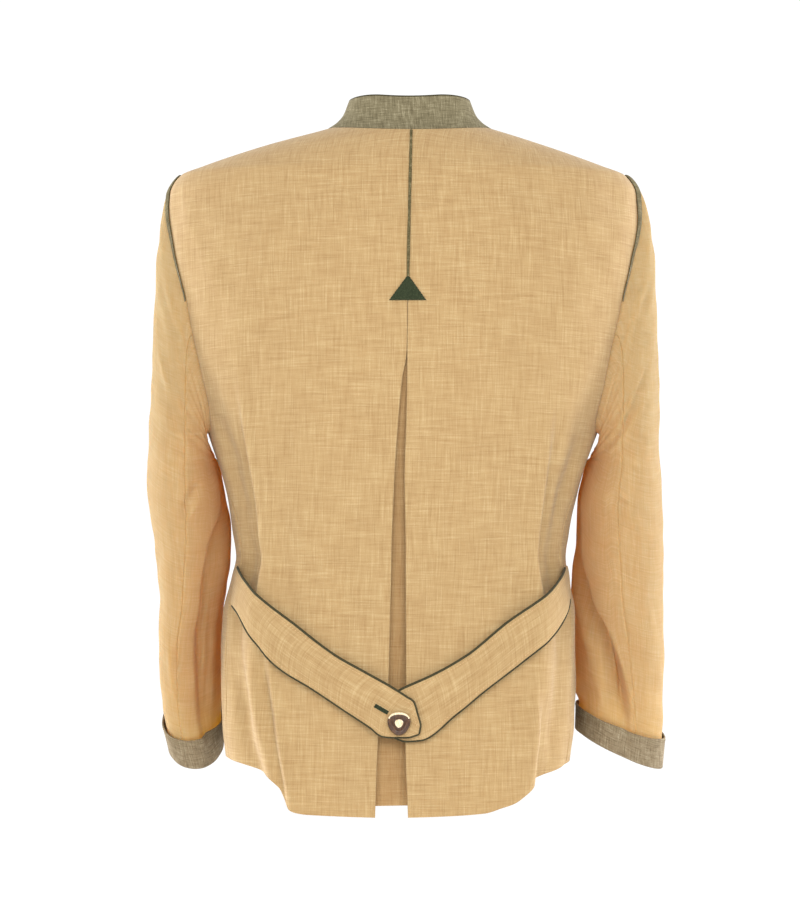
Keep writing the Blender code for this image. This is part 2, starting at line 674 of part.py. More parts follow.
def belt_piping(name, table, finish):
    """A round piping along the belt half's lower edge, round its end and back along its upper edge."""
    station = np.linspace(0, 1, BELT_STATIONS)[1:]
    upper_x, upper_z, lower_x, lower_z, out = (
        smooth(table, c, station) * MM for c in range(1, len(BELT_COLUMNS)))
    edges = ((lower_x, upper_x), (lower_z, upper_z), (out, out))
    x, z, out = (np.concatenate([low, high[::-1]]) for low, high in edges)
    turned = 1 if upper_x[0] < 0 else -1
    steps = np.stack([np.diff(x), np.diff(z)], axis=-1)
    aside = unit(np.stack([steps[:, 1], -steps[:, 0]], axis=-1)) * turned
    corner = unit(np.concatenate([aside[:1], aside[:-1] + aside[1:], aside[-1:]]))
    spread = np.sum(corner * np.concatenate([aside[:1], aside]), axis=-1)
    off = corner * ((PIPING_RADIUS + SEAM_GAP) / np.maximum(spread, 0.5))[:, None]
    return cord(name, on_back(x + off[:, 0], z + off[:, 1], out + BELT_THICK / 2, True), finish)


def collar_piping(name, finish):
    """A round piping on the collar's upper edge."""
    rows = collar_points(np.array([0.75, 1.0]), collar_columns(), -CLOTH / 2)
    along = unit(np.gradient(rows[1], axis=0))
    rise = rows[1] - rows[0]
    up = unit(rise - np.sum(rise * along, axis=-1, keepdims=True) * along)
    return cord(name, rows[1] + up * (PIPING_RADIUS + SEAM_GAP), finish)


# Horn buttons: rings of the domed face, from the back's middle round to the front's middle
BUTTON_RADIUS = 11.5 * MM
BUTTON_RINGS = ((0.55, 0.0), (0.9, 0.05), (1.0, 0.22), (0.9, 0.42), (0.62, 0.52), (0.4, 0.46))
BUTTON_SIDES = 20
BUTTON_CORNER = 0.05
BUTTON_CLEAR = 0.7 * MM
BELT_BUTTON_X, BELT_BUTTON_Z = -7 * MM, -601 * MM
BUTTON_STATION = 0.93
FRONT_BUTTON_TOP_Z, FRONT_BUTTON_STEP, FRONT_BUTTONS = -100 * MM, 105 * MM, 5
FRONT_BUTTON_SIDES = 12


def button(name, place, facing, sides, finish):
    """A domed button with a slightly three-cornered plan, sitting on the cloth at a place."""
    facing = unit(np.array(facing))
    across = unit(np.cross([0, 0, 1.0], facing))
    up = np.cross(facing, across)
    angles = np.linspace(0, 2 * np.pi, sides, endpoint=False)
    plan = 1 - BUTTON_CORNER * np.cos(3 * angles + np.pi / 2)
    circle = (np.cos(angles)[:, None] * across + np.sin(angles)[:, None] * up) * plan[:, None]
    rings = [place + BUTTON_RADIUS * (facing * height + radius * circle) for radius, height in BUTTON_RINGS]
    return lathe(name, rings, finish)


def belt_button(name, finish):
    """The button at the belt's end, on the outside of the left half."""
    x, z = np.array(BELT_BUTTON_X), np.array(BELT_BUTTON_Z)
    top = smooth(BELT_LEFT, BELT_COLUMNS.index("out"), BUTTON_STATION) * MM + BELT_THICK + BUTTON_CLEAR
    facing = body_normal(angle_at(x, z), z)
    return button(name, on_back(x, z, top, True), facing, BUTTON_SIDES, finish)


def front_buttons(name, finish):
    """Buttons down the centre front, each seated just clear of the cloth where that curves up to meet it."""
    for i in range(FRONT_BUTTONS):
        z = FRONT_BUTTON_TOP_Z - i * FRONT_BUTTON_STEP
        place, facing = body(180.0, z, OVERLAP_LIFT), body_normal(180.0, np.array(z))
        rises = [np.dot(body(180.0, z + way * radius * BUTTON_RADIUS, OVERLAP_LIFT) - place, facing)
                 - height * BUTTON_RADIUS for radius, height in BUTTON_RINGS[:3] for way in (-1, 1)]
        seat = place + facing * (max(0, *rises) + BUTTON_CLEAR)
        button(f"{name}_{i + 1}", seat, facing, FRONT_BUTTON_SIDES, finish)


# Piped buttonhole beside the belt button: its ends and half width
WELT_START = (-31 * MM, -583.5 * MM)
WELT_END = (-18 * MM, -591 * MM)
WELT_HALF_WIDTH = 2 * MM
WELT_THICK = 0.8 * MM
WELT_STATION, WELT_ROWS = 0.84, 4


def belt_welt(name, finish):
    """A narrow green strip on the belt's left half, leading to its button."""
    start, end = np.array(WELT_START), np.array(WELT_END)
    along = unit(end - start)
    aside = np.array([-along[1], along[0]]) * WELT_HALF_WIDTH
    rows = np.linspace(0, 1, WELT_ROWS)[:, None, None]
    flat = start + (end - start) * rows + aside * np.array([-1, 1])[None, :, None]
    lift = smooth(BELT_LEFT, BELT_COLUMNS.index("out"), WELT_STATION) * MM + BELT_THICK + BUTTON_CLEAR
    outer, inner = (on_back(flat[..., 0], flat[..., 1], lift + t, True) for t in (WELT_THICK, 0))
    return wall(name, outer, inner, finish)


def main():
    for old in list(bpy.data.objects):
        bpy.data.objects.remove(old)
    cloth = material("linen_cloth", (0.70, 0.48, 0.24), 0.9)
    olive = material("olive_cloth", (0.28, 0.24, 0.14), 0.9)
    green = material("green_felt", (0.05, 0.07, 0.04), 0.95)
    horn = material("horn", (0.16, 0.09, 0.05), 0.35)
    body_panel("back_left", False, LEFT, cloth)
    body_panel("back_right", False, RIGHT, cloth)
    body_panel("front_left", True, LEFT, cloth)
    body_panel("front_right", True, RIGHT, cloth)
    sleeve_panels("sleeve_left", LEFT, cloth)
    sleeve_panels("sleeve_right", RIGHT, cloth)
    cuff("cuff_left", LEFT, olive)
    cuff("cuff_right", RIGHT, olive)
    collar("collar", olive)
    belt("belt_left", BELT_LEFT, cloth)
    belt("belt_right", BELT_RIGHT, cloth)
    pleat_insert("pleat_insert", cloth)
    centre_strip("centre_strip", olive)
    triangle("triangle", green)
    sleeve_inset("sleeve_inset_left", LEFT, olive)
    sleeve_inset("sleeve_inset_right", RIGHT, olive)
    belt_piping("belt_piping_left", BELT_LEFT, green)
    belt_piping("belt_piping_right", BELT_RIGHT, green)
    collar_piping("collar_piping", green)
    belt_welt("belt_buttonhole", green)
    belt_button("belt_button", horn)
    front_buttons("front_button", horn)


main()
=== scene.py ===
"""Trachten jacket: the looks of the worn jacket, seen from the back.

Metres, +Z up. The wearer faces +Y, +X is the wearer's right, and the origin is the middle of the neck
opening, level with the collar seam at the centre back.
"""

import math

import bmesh
import bpy
import numpy as np
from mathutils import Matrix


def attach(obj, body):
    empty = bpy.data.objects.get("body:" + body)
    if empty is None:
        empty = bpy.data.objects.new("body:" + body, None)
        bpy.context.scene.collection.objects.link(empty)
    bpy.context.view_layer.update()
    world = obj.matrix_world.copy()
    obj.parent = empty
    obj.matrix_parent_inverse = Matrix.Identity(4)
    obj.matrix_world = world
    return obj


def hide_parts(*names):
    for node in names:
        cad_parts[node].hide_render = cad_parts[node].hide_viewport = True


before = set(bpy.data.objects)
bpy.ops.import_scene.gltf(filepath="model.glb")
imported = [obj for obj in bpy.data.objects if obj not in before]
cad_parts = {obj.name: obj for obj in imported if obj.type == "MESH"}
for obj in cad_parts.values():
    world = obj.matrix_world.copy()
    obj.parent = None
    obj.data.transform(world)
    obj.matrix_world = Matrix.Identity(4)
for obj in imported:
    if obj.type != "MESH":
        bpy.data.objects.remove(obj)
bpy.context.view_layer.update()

MM = 0.001

# Driving dimensions
CLOTH = 1.6 * MM
NECK_SIDE_Z = 8 * MM
SHOULDER_TIP_Z = -40 * MM
UNDERARM_Z = -310 * MM
WAIST_Z = -420 * MM
FRONT_NECK_DROP = 72 * MM
NECK_ROUNDING = 1.7
SIDE_SEAM_DEG = 72.0
UNDERARM_SEAM_DEG = 80.0
ARMHOLE_BACK_DEG = 18.0
ARMHOLE_FRONT_DEG = 29.0
ARMHOLE_TOP_SHARE = 0.8
ARMHOLE_WIDENING_TURNS = (40, 95)

# Body sections: level, half width, back depth, front depth, squareness of the section, sideways lean
BODY_COLUMNS = ("z", "width", "back", "front", "square", "lean")
BODY = np.array([
    (12, 72, 60, 58, 2.0, 4),
    (8, 86, 66, 62, 2.0, 4),
    (-11, 152, 84, 74, 2.0, -1),
    (-32, 213, 97, 86, 2.0, -3),
    (-40, 233, 101, 90, 2.0, -3),
    (-60, 246, 108, 98, 2.0, -3),
    (-100, 250, 120, 114, 2.1, -2),
    (-180, 241, 130, 134, 2.2, -2),
    (-250, 224, 129, 141, 2.3, -2),
    (-310, 204, 124, 137, 2.4, -3),
    (-370, 184, 117, 126, 2.6, -4),
    (-415, 174, 113, 119, 2.7, -5),
    (-438, 171, 114, 120, 2.7, -5),
    (-460, 175, 115, 121, 2.7, -6),
    (-500, 184, 119, 125, 2.7, -7),
    (-550, 185, 123, 129, 2.7, -8),
    (-610, 184, 126, 131, 2.7, -8),
    (-655, 179, 128, 131, 2.7, -8),
    (-705, 172, 130, 131, 2.7, -8),
])

# Hem level on both sides against the angle round the body from the centre back
HEM_COLUMNS = ("degrees", "left", "right")
HEM = np.array([
    (0, -696, -696),
    (22, -694, -693),
    (29, -690, -688),
    (34, -668, -684),
    (41, -658, -673),
    (46, -655, -664),
    (64, -647, -655),
    (72, -646, -651),
    (100, -647, -648),
    (180, -660, -660),
])

# Soft folds of the body: the angle at their upper and lower end, those ends, half width and height
FOLD_COLUMNS = ("top_deg", "bottom_deg", "top_z", "bottom_z", "half_deg", "height")
FOLDS = np.array([
    (-50, -46, -250, -560, 8, 5),
    (-62, -60, -300, -560, 8, -7),
    (50, 47, -260, -560, 8, 5),
    (62, 60, -300, -560, 8, -6),
    (-45, -33, -560, -700, 7, 9),
    (-56, -47, -560, -700, 8, -9),
    (40, 38, -600, -700, 9, 6),
    (56, 52, -590, -700, 9, -7),
])

# What lies taut on the cloth bridges its troughs: how far it reaches in degrees, and its fall for a degree
BRIDGE_REACH, BRIDGE_FALL, BRIDGE_STEPS = 27, 0.3 * MM, 37

# Pleat edges beside the centre back: level, left edge and right edge
PLEAT_COLUMNS = ("z", "left", "right")
PLEAT = np.array([
    (20, 5.8, 6.2),
    (-155, 1.8, 2.2),
    (-229, 0.8, 1.2),
    (-258, -4, 1),
    (-302, -8, 0.2),
    (-355, -11.5, -1.5),
    (-413, -14, -0.5),
    (-568, -18, 0),
    (-618, -28, -0.5),
    (-698, -31, 2),
])


def smooth(table, column, at):
    """Value of a table's column at the given keys, on a smooth curve through its rows."""
    keys, values = table[:, 0], table[:, column]
    order = np.argsort(keys)
    keys, values = keys[order], values[order]
    chords = np.diff(values) / np.diff(keys)
    slopes = np.concatenate([[chords[0]], np.zeros(len(chords) - 1), [chords[-1]]])
    turning = chords[:-1] * chords[1:] > 0
    both = chords[:-1] + chords[1:]
    slopes[1:-1][turning] = 2 * (chords[:-1] * chords[1:])[turning] / both[turning]
    at = np.clip(np.asarray(at, float), keys[0], keys[-1])
    cell = np.clip(np.searchsorted(keys, at, side="right") - 1, 0, len(chords) - 1)
    span = keys[cell + 1] - keys[cell]
    s = (at - keys[cell]) / span
    return (
        values[cell] * (1 + 2 * s) * (1 - s) ** 2
        + slopes[cell] * span * s * (1 - s) ** 2
        + values[cell + 1] * s * s * (3 - 2 * s)
        + slopes[cell + 1] * span * s * s * (s - 1)
    )


def body_value(name, z):
    """One measure of the body's section at these levels, in metres, or bare for its squareness."""
    found = smooth(BODY, BODY_COLUMNS.index(name), z / MM)
    return found if name == "square" else found * MM


def unit(vectors):
    return vectors / np.linalg.norm(vectors, axis=-1, keepdims=True)


def ease(low, high, value):
    s = np.clip((value - low) / (high - low), 0, 1)
    return s * s * (3 - 2 * s)


def fold_height(degrees, z):
    """How far the soft folds lift the cloth. Degrees are negative on the wearer's left."""
    lift = np.zeros(np.broadcast(degrees, z).shape)
    for row in FOLDS:
        fold = dict(zip(FOLD_COLUMNS, row))
        along = (z / MM - fold["top_z"]) / (fold["bottom_z"] - fold["top_z"])
        middle = fold["top_deg"] + (fold["bottom_deg"] - fold["top_deg"]) * along
        shown = ease(-0.25, 0.3, along) * (1 - ease(1.0, 1.3, along))
        lift += fold["height"] * MM * shown * np.exp(-(((degrees - middle) / fold["half_deg"]) ** 2))
    return lift


# Crisp creases of the body: the degrees and level of both ends, the half widths towards the wearer's left
# and right, the height, and how far the line bows to the right
CREASES = np.array([
    (-45.5, -255, -47, -490, 4, 24, 3.4, -5),
    (-49.3, -285, -50.8, -488, 14, 6, -7.0, -5),
    (41, -280, 47.5, -490, 24, 4, 3.2, 3),
    (45.5, -300, 51.2, -488, 6, 14, -6.5, 3),
    (-38.6, -530, -29.5, -690, 3, 16, 4.5, 2),
    (-41.8, -540, -32.7, -698, 15, 4, -8.5, 2),
    (42.8, -575, 43.6, -690, 15, 3, 3.6, 0),
    (46.6, -585, 47.4, -690, 3, 13, -5.0, 0),
    (30, -590, 29, -696, 10, 9, 1.3, 0),
    (-63, -232, -40, -196, 9, 7, 1.3, -2),
    (-66, -262, -48, -252, 6, 8, -1.4, 1),
    (64, -236, 40, -176, 8, 9, 1.2, 2),
    (60, -268, 46, -262, 6, 7, -1.3, -1),
    (-22, -60, -38, -140, 13, 15, 0.8, 3),
    (24, -52, 37, -130, 14, 12, 0.7, -3),
    (-12, -430, -15, -540, 12, 9, -0.9, 2),
    (14, -440, 21, -530, 10, 13, -0.8, -2),
    (118, -195, 137, -330, 9, 13, -2.2, 4),
    (-119, -205, -139, -318, 12, 9, -2.4, -4),
    (128, -330, 131, -470, 9, 8, 1.8, 2),
    (-126, -345, -133, -490, 8, 11, 1.6, -3),
    (146, -500, 149, -655, 11, 13, 2.4, 2),
    (-141, -520, -146, -655, 13, 10, 2.2, -2),
    (110, -430, 107, -560, 9, 7, -2.4, 2),
    (-108, -450, -104, -590, 7, 10, -2.2, 1),
    (84, -400, 88, -500, 7, 7, 1.4, 2),
    (-86, -390, -83, -480, 7, 8, 1.5, -1),
    (90, -560, 94, -648, 9, 11, 2.0, 1),
    (-92, -545, -96, -648, 10, 9, 2.2, -2),
])
MM_PER_DEGREE = 2.9
NECK_QUIET_Z = (-75, -25)

# Slight unevenness of the hung cloth: wave lengths in mm across and along, their phase, and the height
WAVES = np.array([
    (83, 140, 0.7, 0.30),
    (-61, 97, 2.1, 0.26),
    (47, -171, 4.0, 0.22),
    (-35, -66, 5.2, 0.15),
    (29, 51, 1.4, 0.10),
])


def crease_height(across, along, table):
    """Height in mm of the creases of a table on a plane in mm, whose lines run between two ends."""
    across, along = np.broadcast_arrays(across, along)
    lift = np.zeros(across.shape)
    for x0, y0, x1, y1, before, after, height, bow in table:
        length = math.hypot(x1 - x0, y1 - y0)
        way_x, way_y = (x1 - x0) / length, (y1 - y0) / length
        t = ((across - x0) * way_x + (along - y0) * way_y) / length
        aside = (x0 - across) * way_y + (along - y0) * way_x
        aside = aside - bow * np.sin(np.pi * np.clip(t, 0, 1))
        width = np.where(aside < 0, before, after)
        shown = ease(-0.2, 0.3, t) * (1 - ease(0.7, 1.15, t))
        lift += height * shown * np.exp(-((aside / width) ** 2))
    return lift


def waves(across, along):
    lift = 0
    for wide, long, phase, height in WAVES:
        lift = lift + height * np.sin(2 * np.pi * (across / wide + along / long) + phase)
    return lift


def body_creases(degrees, z):
    """Height of the body's crisp creases and unevenness, in metres."""
    scale = np.array([MM_PER_DEGREE, 1, MM_PER_DEGREE, 1, 1, 1, 1, 1])
    across, along = degrees * MM_PER_DEGREE, z / MM
    lift = crease_height(across, along, CREASES * scale) + waves(across, along)
    return lift * (1 - ease(*NECK_QUIET_Z, along)) * MM


def body_raw(degrees, z):
    """Points of the body's cloth without folds. Degrees run from 0 at the centre back to 180 in front."""
    sine, cosine = np.sin(np.radians(degrees)), np.cos(np.radians(degrees))
    power = 2 / body_value("square", z)
    across = body_value("width", z) * np.sign(sine) * np.abs(sine) ** power
    depth = np.where(cosine > 0, -body_value("back", z), body_value("front", z))
    along = depth * np.abs(cosine) ** power
    return np.stack([across + body_value("lean", z), along, z + 0 * across], axis=-1)


def body_normal(degrees, z):
    step_deg, step_z = 0.5, 1 * MM
    round_body = body_raw(degrees + step_deg, z) - body_raw(degrees - step_deg, z)
    up_body = body_raw(degrees, z + step_z) - body_raw(degrees, z - step_z)
    return unit(np.cross(round_body, up_body))


def cloth_height(degrees, z, bridged):
    """Height of the folds and creases, or of what lies taut on them and bridges their troughs."""
    if not bridged:
        return fold_height(degrees, z) + body_creases(degrees, z)
    steps = np.linspace(-BRIDGE_REACH, BRIDGE_REACH, BRIDGE_STEPS)
    return np.max([cloth_height(degrees + s, z, False) - abs(s) * BRIDGE_FALL for s in steps], axis=0)


def body(degrees, z, out=0.0, bridged=False):
    """Points on the outside of the body's cloth, moved out. What lies on the cloth may bridge its troughs."""
    degrees, z = np.broadcast_arrays(np.asarray(degrees, float), np.asarray(z, float))
    lift = cloth_height(degrees, z, bridged)
    return body_raw(degrees, z) + body_normal(degrees, z) * (lift + out)[..., None]


def angle_at(x, z):
    """The angle from the centre back at which the back's cloth is this far across."""
    across = (x - body_value("lean", z)) / body_value("width", z)
    share = np.clip(np.abs(across), 0, 1) ** (body_value("square", z) / 2)
    return np.degrees(np.arcsin(share)) * np.sign(across)


def on_back(x, z, out, bridged=False):
    return body(angle_at(x, z), z, out, bridged)


# The wearer's sides, and the closing of the fronts
LEFT, RIGHT = -1, 1
SIDES = {LEFT: "left", RIGHT: "right"}
FRONT_OVERLAP = 15 * MM
OVERLAP_EASE = 45 * MM
OVERLAP_LIFT = CLOTH + 1.0 * MM
WEAVE_STEPS = 14


def seam_degrees(z):
    return SIDE_SEAM_DEG + (UNDERARM_SEAM_DEG - SIDE_SEAM_DEG) * ease(WAIST_Z, UNDERARM_Z, z)


def armhole_place(turn):
    """Level and angle of the armhole edge: turn 0 at the shoulder, 90 behind, 180 underarm, 270 in front."""
    cosine, sine = np.cos(np.radians(turn)), np.sin(np.radians(turn))
    half = (SHOULDER_TIP_Z - UNDERARM_Z) / 2
    z = UNDERARM_Z + half * (1 + cosine)
    middle = 90 + (UNDERARM_SEAM_DEG - 90) * (1 - cosine) / 2
    from_top = np.abs(np.mod(turn + 180, 360) - 180)
    scoop = sine * (ARMHOLE_TOP_SHARE + (1 - ARMHOLE_TOP_SHARE) * ease(*ARMHOLE_WIDENING_TURNS, from_top))
    return z, middle - scoop * np.where(sine > 0, ARMHOLE_BACK_DEG, ARMHOLE_FRONT_DEG)


def edge_place(front, side, e):
    """Level and angle along a panel's outer edge: e 0 to 1 side seam, 1 to 2 armhole, 2 to 3 shoulder."""
    hem_z = hem_level(side, SIDE_SEAM_DEG)
    seam_z = hem_z + (UNDERARM_Z - hem_z) * np.clip(e, 0, 1)
    turn = 180 * (2 - np.clip(e, 1, 2))
    arm_z, arm_deg = armhole_place(360 - turn if front else turn)
    shoulder_z = SHOULDER_TIP_Z + (NECK_SIDE_Z - SHOULDER_TIP_Z) * np.clip(e - 2, 0, 1)
    z = np.where(e <= 1, seam_z, np.where(e <= 2, arm_z, shoulder_z))
    return z, np.where(e <= 1, seam_degrees(seam_z), np.where(e <= 2, arm_deg, 90.0))


def hem_level(side, degrees):
    return smooth(HEM, HEM_COLUMNS.index(SIDES[side]), np.abs(degrees)) * MM


def pleat_edge(side, z):
    return smooth(PLEAT, PLEAT_COLUMNS.index(SIDES[side]), z / MM) * MM


def pleat_middle(z):
    return (pleat_edge(LEFT, z) + pleat_edge(RIGHT, z)) / 2


def panel_place(front, side, e, f):
    """Angles and levels of a panel: e along its outer edge from the hem up, f from its middle outwards."""
    e, f = np.broadcast_arrays(np.asarray(e, float), np.asarray(f, float))
    edge_z, edge_deg = edge_place(front, side, e)
    rise = np.clip((edge_z - UNDERARM_Z) / (NECK_SIDE_Z - UNDERARM_Z), 0, 1)
    drop = NECK_SIDE_Z + (FRONT_NECK_DROP if front else 0)
    z = edge_z - drop * rise * np.cos(np.radians(90 * f)) ** NECK_ROUNDING
    middle_deg = 180.0 if front else 0.0
    flat_deg = middle_deg + (edge_deg - middle_deg) * f
    hem_z = hem_level(side, flat_deg)
    z = np.where(e < 1, hem_z + (UNDERARM_Z - hem_z) * np.clip(e, 0, 1), z)
    share = f + (neckline_share(edge_z, edge_deg, z, f) - f) * rise**2
    if front:
        lap = (FRONT_OVERLAP / body_value("width", z)) ** (body_value("square", z) / 2)
        start = 180 + np.degrees(np.arcsin(lap))
        return side * (start + (edge_deg - start) * share), z
    start = angle_at(pleat_edge(side, z), z)
    return start + (side * edge_deg - start) * share, z


def panel(front, side, e, f):
    degrees, z = panel_place(front, side, e, f)
    return body(degrees, z, overlap_lift(side, degrees, z) if front else 0.0)


def line_length(points):
    return np.linalg.norm(np.diff(points, axis=-2), axis=-1).sum(axis=-1)


def body_weave(degrees, z, middle):
    """Lengths across from a middle angle and up from the waist on the body's cloth, where its weave lies."""
    share = np.linspace(0, 1, WEAVE_STEPS)
    round_body = body_raw(middle + (degrees[..., None] - middle) * share, z[..., None] + 0 * share)
    up_body = body_raw(degrees[..., None] + 0 * share, WAIST_Z + (z[..., None] - WAIST_Z) * share)
    across, along = line_length(round_body), line_length(up_body)
    return np.stack([across * np.sign(degrees - middle), along * np.sign(z - WAIST_Z)], axis=-1)


def neckline_share(edge_z, edge_deg, z, f):
    """How far round a row lies when its columns spread across evenly, as they do at the neck."""
    edge_share = np.abs(np.sin(np.radians(edge_deg)))
    across = edge_share ** (2 / body_value("square", edge_z)) * body_value("width", edge_z)
    wanted = across * np.sin(np.radians(90 * f)) / body_value("width", z)
    turned = np.arcsin(np.clip(wanted, 0, 1) ** (body_value("square", z) / 2))
    return np.where(f >= 1, 1.0, np.clip(turned / np.arcsin(np.clip(edge_share, 0.01, 1)), 0, 1))


def overlap_lift(side, deg, z):
    """The right front lies on the left one, so it stands out by a cloth's thickness at the closing."""
    if side == LEFT:
        return 0.0
    across = body_raw(deg, z)[..., 0] - body_value("lean", z)
    return OVERLAP_LIFT * (1 - ease(FRONT_OVERLAP, FRONT_OVERLAP + OVERLAP_EASE, across))


# Sleeves: rings from the underarm to the cuff, their middle, half width and half depth, the forward tilt,
# the turn about the sleeve, the tilt sideways, and the rim from which the empty cloth falls in behind the
# arm: the rim's turn, and how deep the cloth falls as a share of the radius
SLEEVE_COLUMNS = ("z", "x", "y", "half_width", "half_depth", "tilt", "twist", "roll", "rim", "trough")
SLEEVES = {
    LEFT: np.array([
        (-340, -235.5, 0, 35.5, 66, 4, 0, 0, 170, 0.0),
        (-380, -230.5, 3, 39, 64, 6, -5, 0, 166, 0.12),
        (-428, -225, 8, 36, 62, 9, -11, 0, 140, 0.36),
        (-473, -224.5, 16, 31, 61, 13, -14, 0, 136, 0.42),
        (-518, -227.5, 26, 28, 59, 17, -17, 2, 136, 0.40),
        (-568, -227.5, 38, 27, 56, 21, -19, 7, 139, 0.34),
        (-608, -226.5, 46, 25, 52, 23, -17, 20, 142, 0.14),
        (-641, -224, 50, 23, 49, 22, -14, 31, 142, 0.0),
    ]),
    RIGHT: np.array([
        (-340, 230.5, 0, 36, 66, 4, 0, 0, 170, 0.0),
        (-380, 226.5, 3, 42.5, 64, 5, 2, 0, 168, 0.08),
        (-428, 225.5, 8, 45, 62, 7, 6, 0, 166, 0.25),
        (-473, 225.5, 16, 45, 60, 10, 10, 0, 150, 0.42),
        (-518, 227, 25, 44.5, 57, 13, 16, -4, 127, 0.48),
        (-568, 228.5, 34, 43, 52, 17, 23, -13, 114, 0.45),
        (-608, 229, 41, 42.5, 48, 20, 28, -24, 110, 0.12),
        (-645, 227.5, 46, 43, 45, 22, 30, -32, 106, 0.0),
    ]),
}
BACK_SEAM_TURN, FRONT_SEAM_TURN = 105, 240

# The cap swells out and a little up, and the cloth under the arm stands clear of the body. The powers say how
# far down the swell reaches, and where along the sleeve head each of the two is greatest
CAP_BULGE = {LEFT: 9 * MM, RIGHT: 15 * MM}
CAP_ROUNDING, CAP_PEAK, CAP_RISE = 1.2, 0.5, 0.3
UNDERARM_CLEAR, UNDERARM_PEAK = 4 * MM, 0.4

# Cuffs, and the sleeve's width for a degree of turn, for its creases
CUFF_HEIGHT = 31 * MM
CUFF_OFF = 0.8 * MM
CUFF_THICK = 2 * MM
MM_PER_TURN = 0.9

# Turns before and past the rim where the cloth starts to fall in, lies deepest and has come back out
RIM_BEFORE, RIM_DEEP, RIM_END = 3, 10, 50

# Creases of the sleeves: k and turn of both ends, the half widths, the height and the bow
SLEEVE_CREASES = {
    LEFT: np.array([
        (1.17, 97, 1.06, 128, 5, 7, -3.2, 1),
        (0.50, 184, 1.34, 198, 22, 24, 1.2, 0),
        (0.98, 186, 1.50, 198, 22, 24, 3.0, 0),
        (1.20, 96, 1.12, 124, 4, 6, 1.8, 1),
        (0.70, 112, 0.62, 134, 4, 5, -1.8, 0),
        (0.52, 58, 0.62, 74, 7, 6, 1.6, 2),
        (1.58, 88, 1.76, 98, 5, 8, 2.2, -2),
        (1.42, 160, 1.80, 158, 6, 5, 2.6, 2),
        (1.50, 176, 1.84, 174, 5, 7, 2.0, -1),
        (1.28, 60, 1.36, 30, 7, 9, -1.4, 2),
        (1.22, 228, 1.14, 280, 6, 8, -3.0, 3),
        (1.32, 210, 1.30, 290, 8, 6, -2.6, -3),
        (1.42, 225, 1.48, 280, 6, 7, -2.0, 2),
        (0.86, 222, 0.78, 262, 7, 6, -2.2, 2),
        (0.45, 300, 0.80, 285, 9, 12, -1.8, 3),
        (1.05, 330, 1.30, 345, 10, 8, 1.4, -2),
        (1.55, 300, 1.80, 310, 8, 7, 1.6, 1),
    ]),
    RIGHT: np.array([
        (0.72, 118, 0.55, 66, 6, 8, -2.4, 3),
        (0.50, 182, 1.40, 196, 24, 22, 2.1, 0),
        (0.98, 184, 1.50, 196, 24, 22, 3.4, 0),
        (1.40, 200, 2.00, 212, 16, 16, 5.0, 0),
        (0.80, 116, 0.66, 62, 6, 7, 1.4, 3),
        (0.60, 26, 0.86, 18, 6, 8, 1.6, 1),
        (1.16, 96, 1.20, 70, 8, 6, 1.6, 1),
        (1.10, 120, 1.13, 92, 5, 6, -1.8, -1),
        (1.56, 134, 1.82, 132, 5, 6, 2.6, 1),
        (1.62, 154, 1.84, 150, 6, 5, 2.2, -1),
        (1.40, 62, 1.55, 50, 9, 7, -1.3, 2),
        (1.66, 84, 1.84, 88, 6, 7, 1.4, 1),
        (1.20, 226, 1.12, 276, 7, 6, -3.0, 3),
        (1.30, 222, 1.33, 292, 6, 9, -2.4, -2),
        (1.44, 214, 1.46, 262, 7, 6, -2.0, 2),
        (0.84, 226, 0.76, 264, 6, 7, -2.0, -2),
        (0.50, 302, 0.85, 284, 11, 9, -1.6, 3),
        (1.08, 336, 1.28, 350, 8, 10, 1.3, -2),
        (1.50, 296, 1.78, 305, 7, 9, 1.5, 1),
    ]),
}


def sleeve_ring(side, z, turn):
    """Points of a sleeve below the underarm, on the ring whose middle is at this level."""
    x, y, half_width, half_depth, tilt, twist, roll, rim, trough = (
        smooth(SLEEVES[side], c, z / MM) for c in range(1, len(SLEEVE_COLUMNS)))
    tilt, twist, roll, angle = np.radians(tilt), np.radians(twist), np.radians(roll), np.radians(turn)
    past = turn - rim
    radius = 1 - trough * ease(-RIM_BEFORE, RIM_DEEP, past) * (1 - ease(RIM_DEEP, RIM_END, past))
    outwards = half_width * radius * np.cos(angle)
    across = side * outwards
    deep = -half_depth * radius * np.sin(angle)
    forward = across * np.sin(twist) + deep * np.cos(twist)
    return np.stack([
        (x + across * np.cos(twist) - deep * np.sin(twist)) * MM,
        (y + forward * np.cos(tilt)) * MM,
        z + (forward * np.sin(tilt) + outwards * np.sin(roll)) * MM,
    ], axis=-1)


def armhole(side, turn, out=0.0):
    z, degrees = armhole_place(turn)
    return body(side * degrees, z, out)


def sleeve(side, k, turn):
    """Outside of a sleeve: k 0 to 1 from the armhole over the cap, 1 to 2 from the underarm to the cuff."""
    k, turn = np.broadcast_arrays(np.asarray(k, float), np.asarray(turn, float))
    turn = np.mod(turn, 360)
    levels = SLEEVES[side][:, 0]
    ring_z = (levels[0] + (levels[-1] - levels[0]) * np.clip(k - 1, 0, 1)) * MM
    ring = sleeve_ring(side, ring_z, turn)
    blend = np.clip(k, 0, 1)[..., None]
    start = armhole(side, turn)
    upper = ((1 + np.cos(np.radians(turn))) / 2)[..., None] ** CAP_ROUNDING
    swell = CAP_BULGE[side] * np.sin(np.pi * blend**CAP_PEAK) * upper
    z, degrees = armhole_place(turn)
    clear = UNDERARM_CLEAR * np.sin(np.pi * blend**UNDERARM_PEAK) * (1 - upper)
    lifted = swell * unit(np.array([side, 0, CAP_RISE])) + clear * body_normal(side * degrees, z)
    return start + (ring - start) * blend + lifted


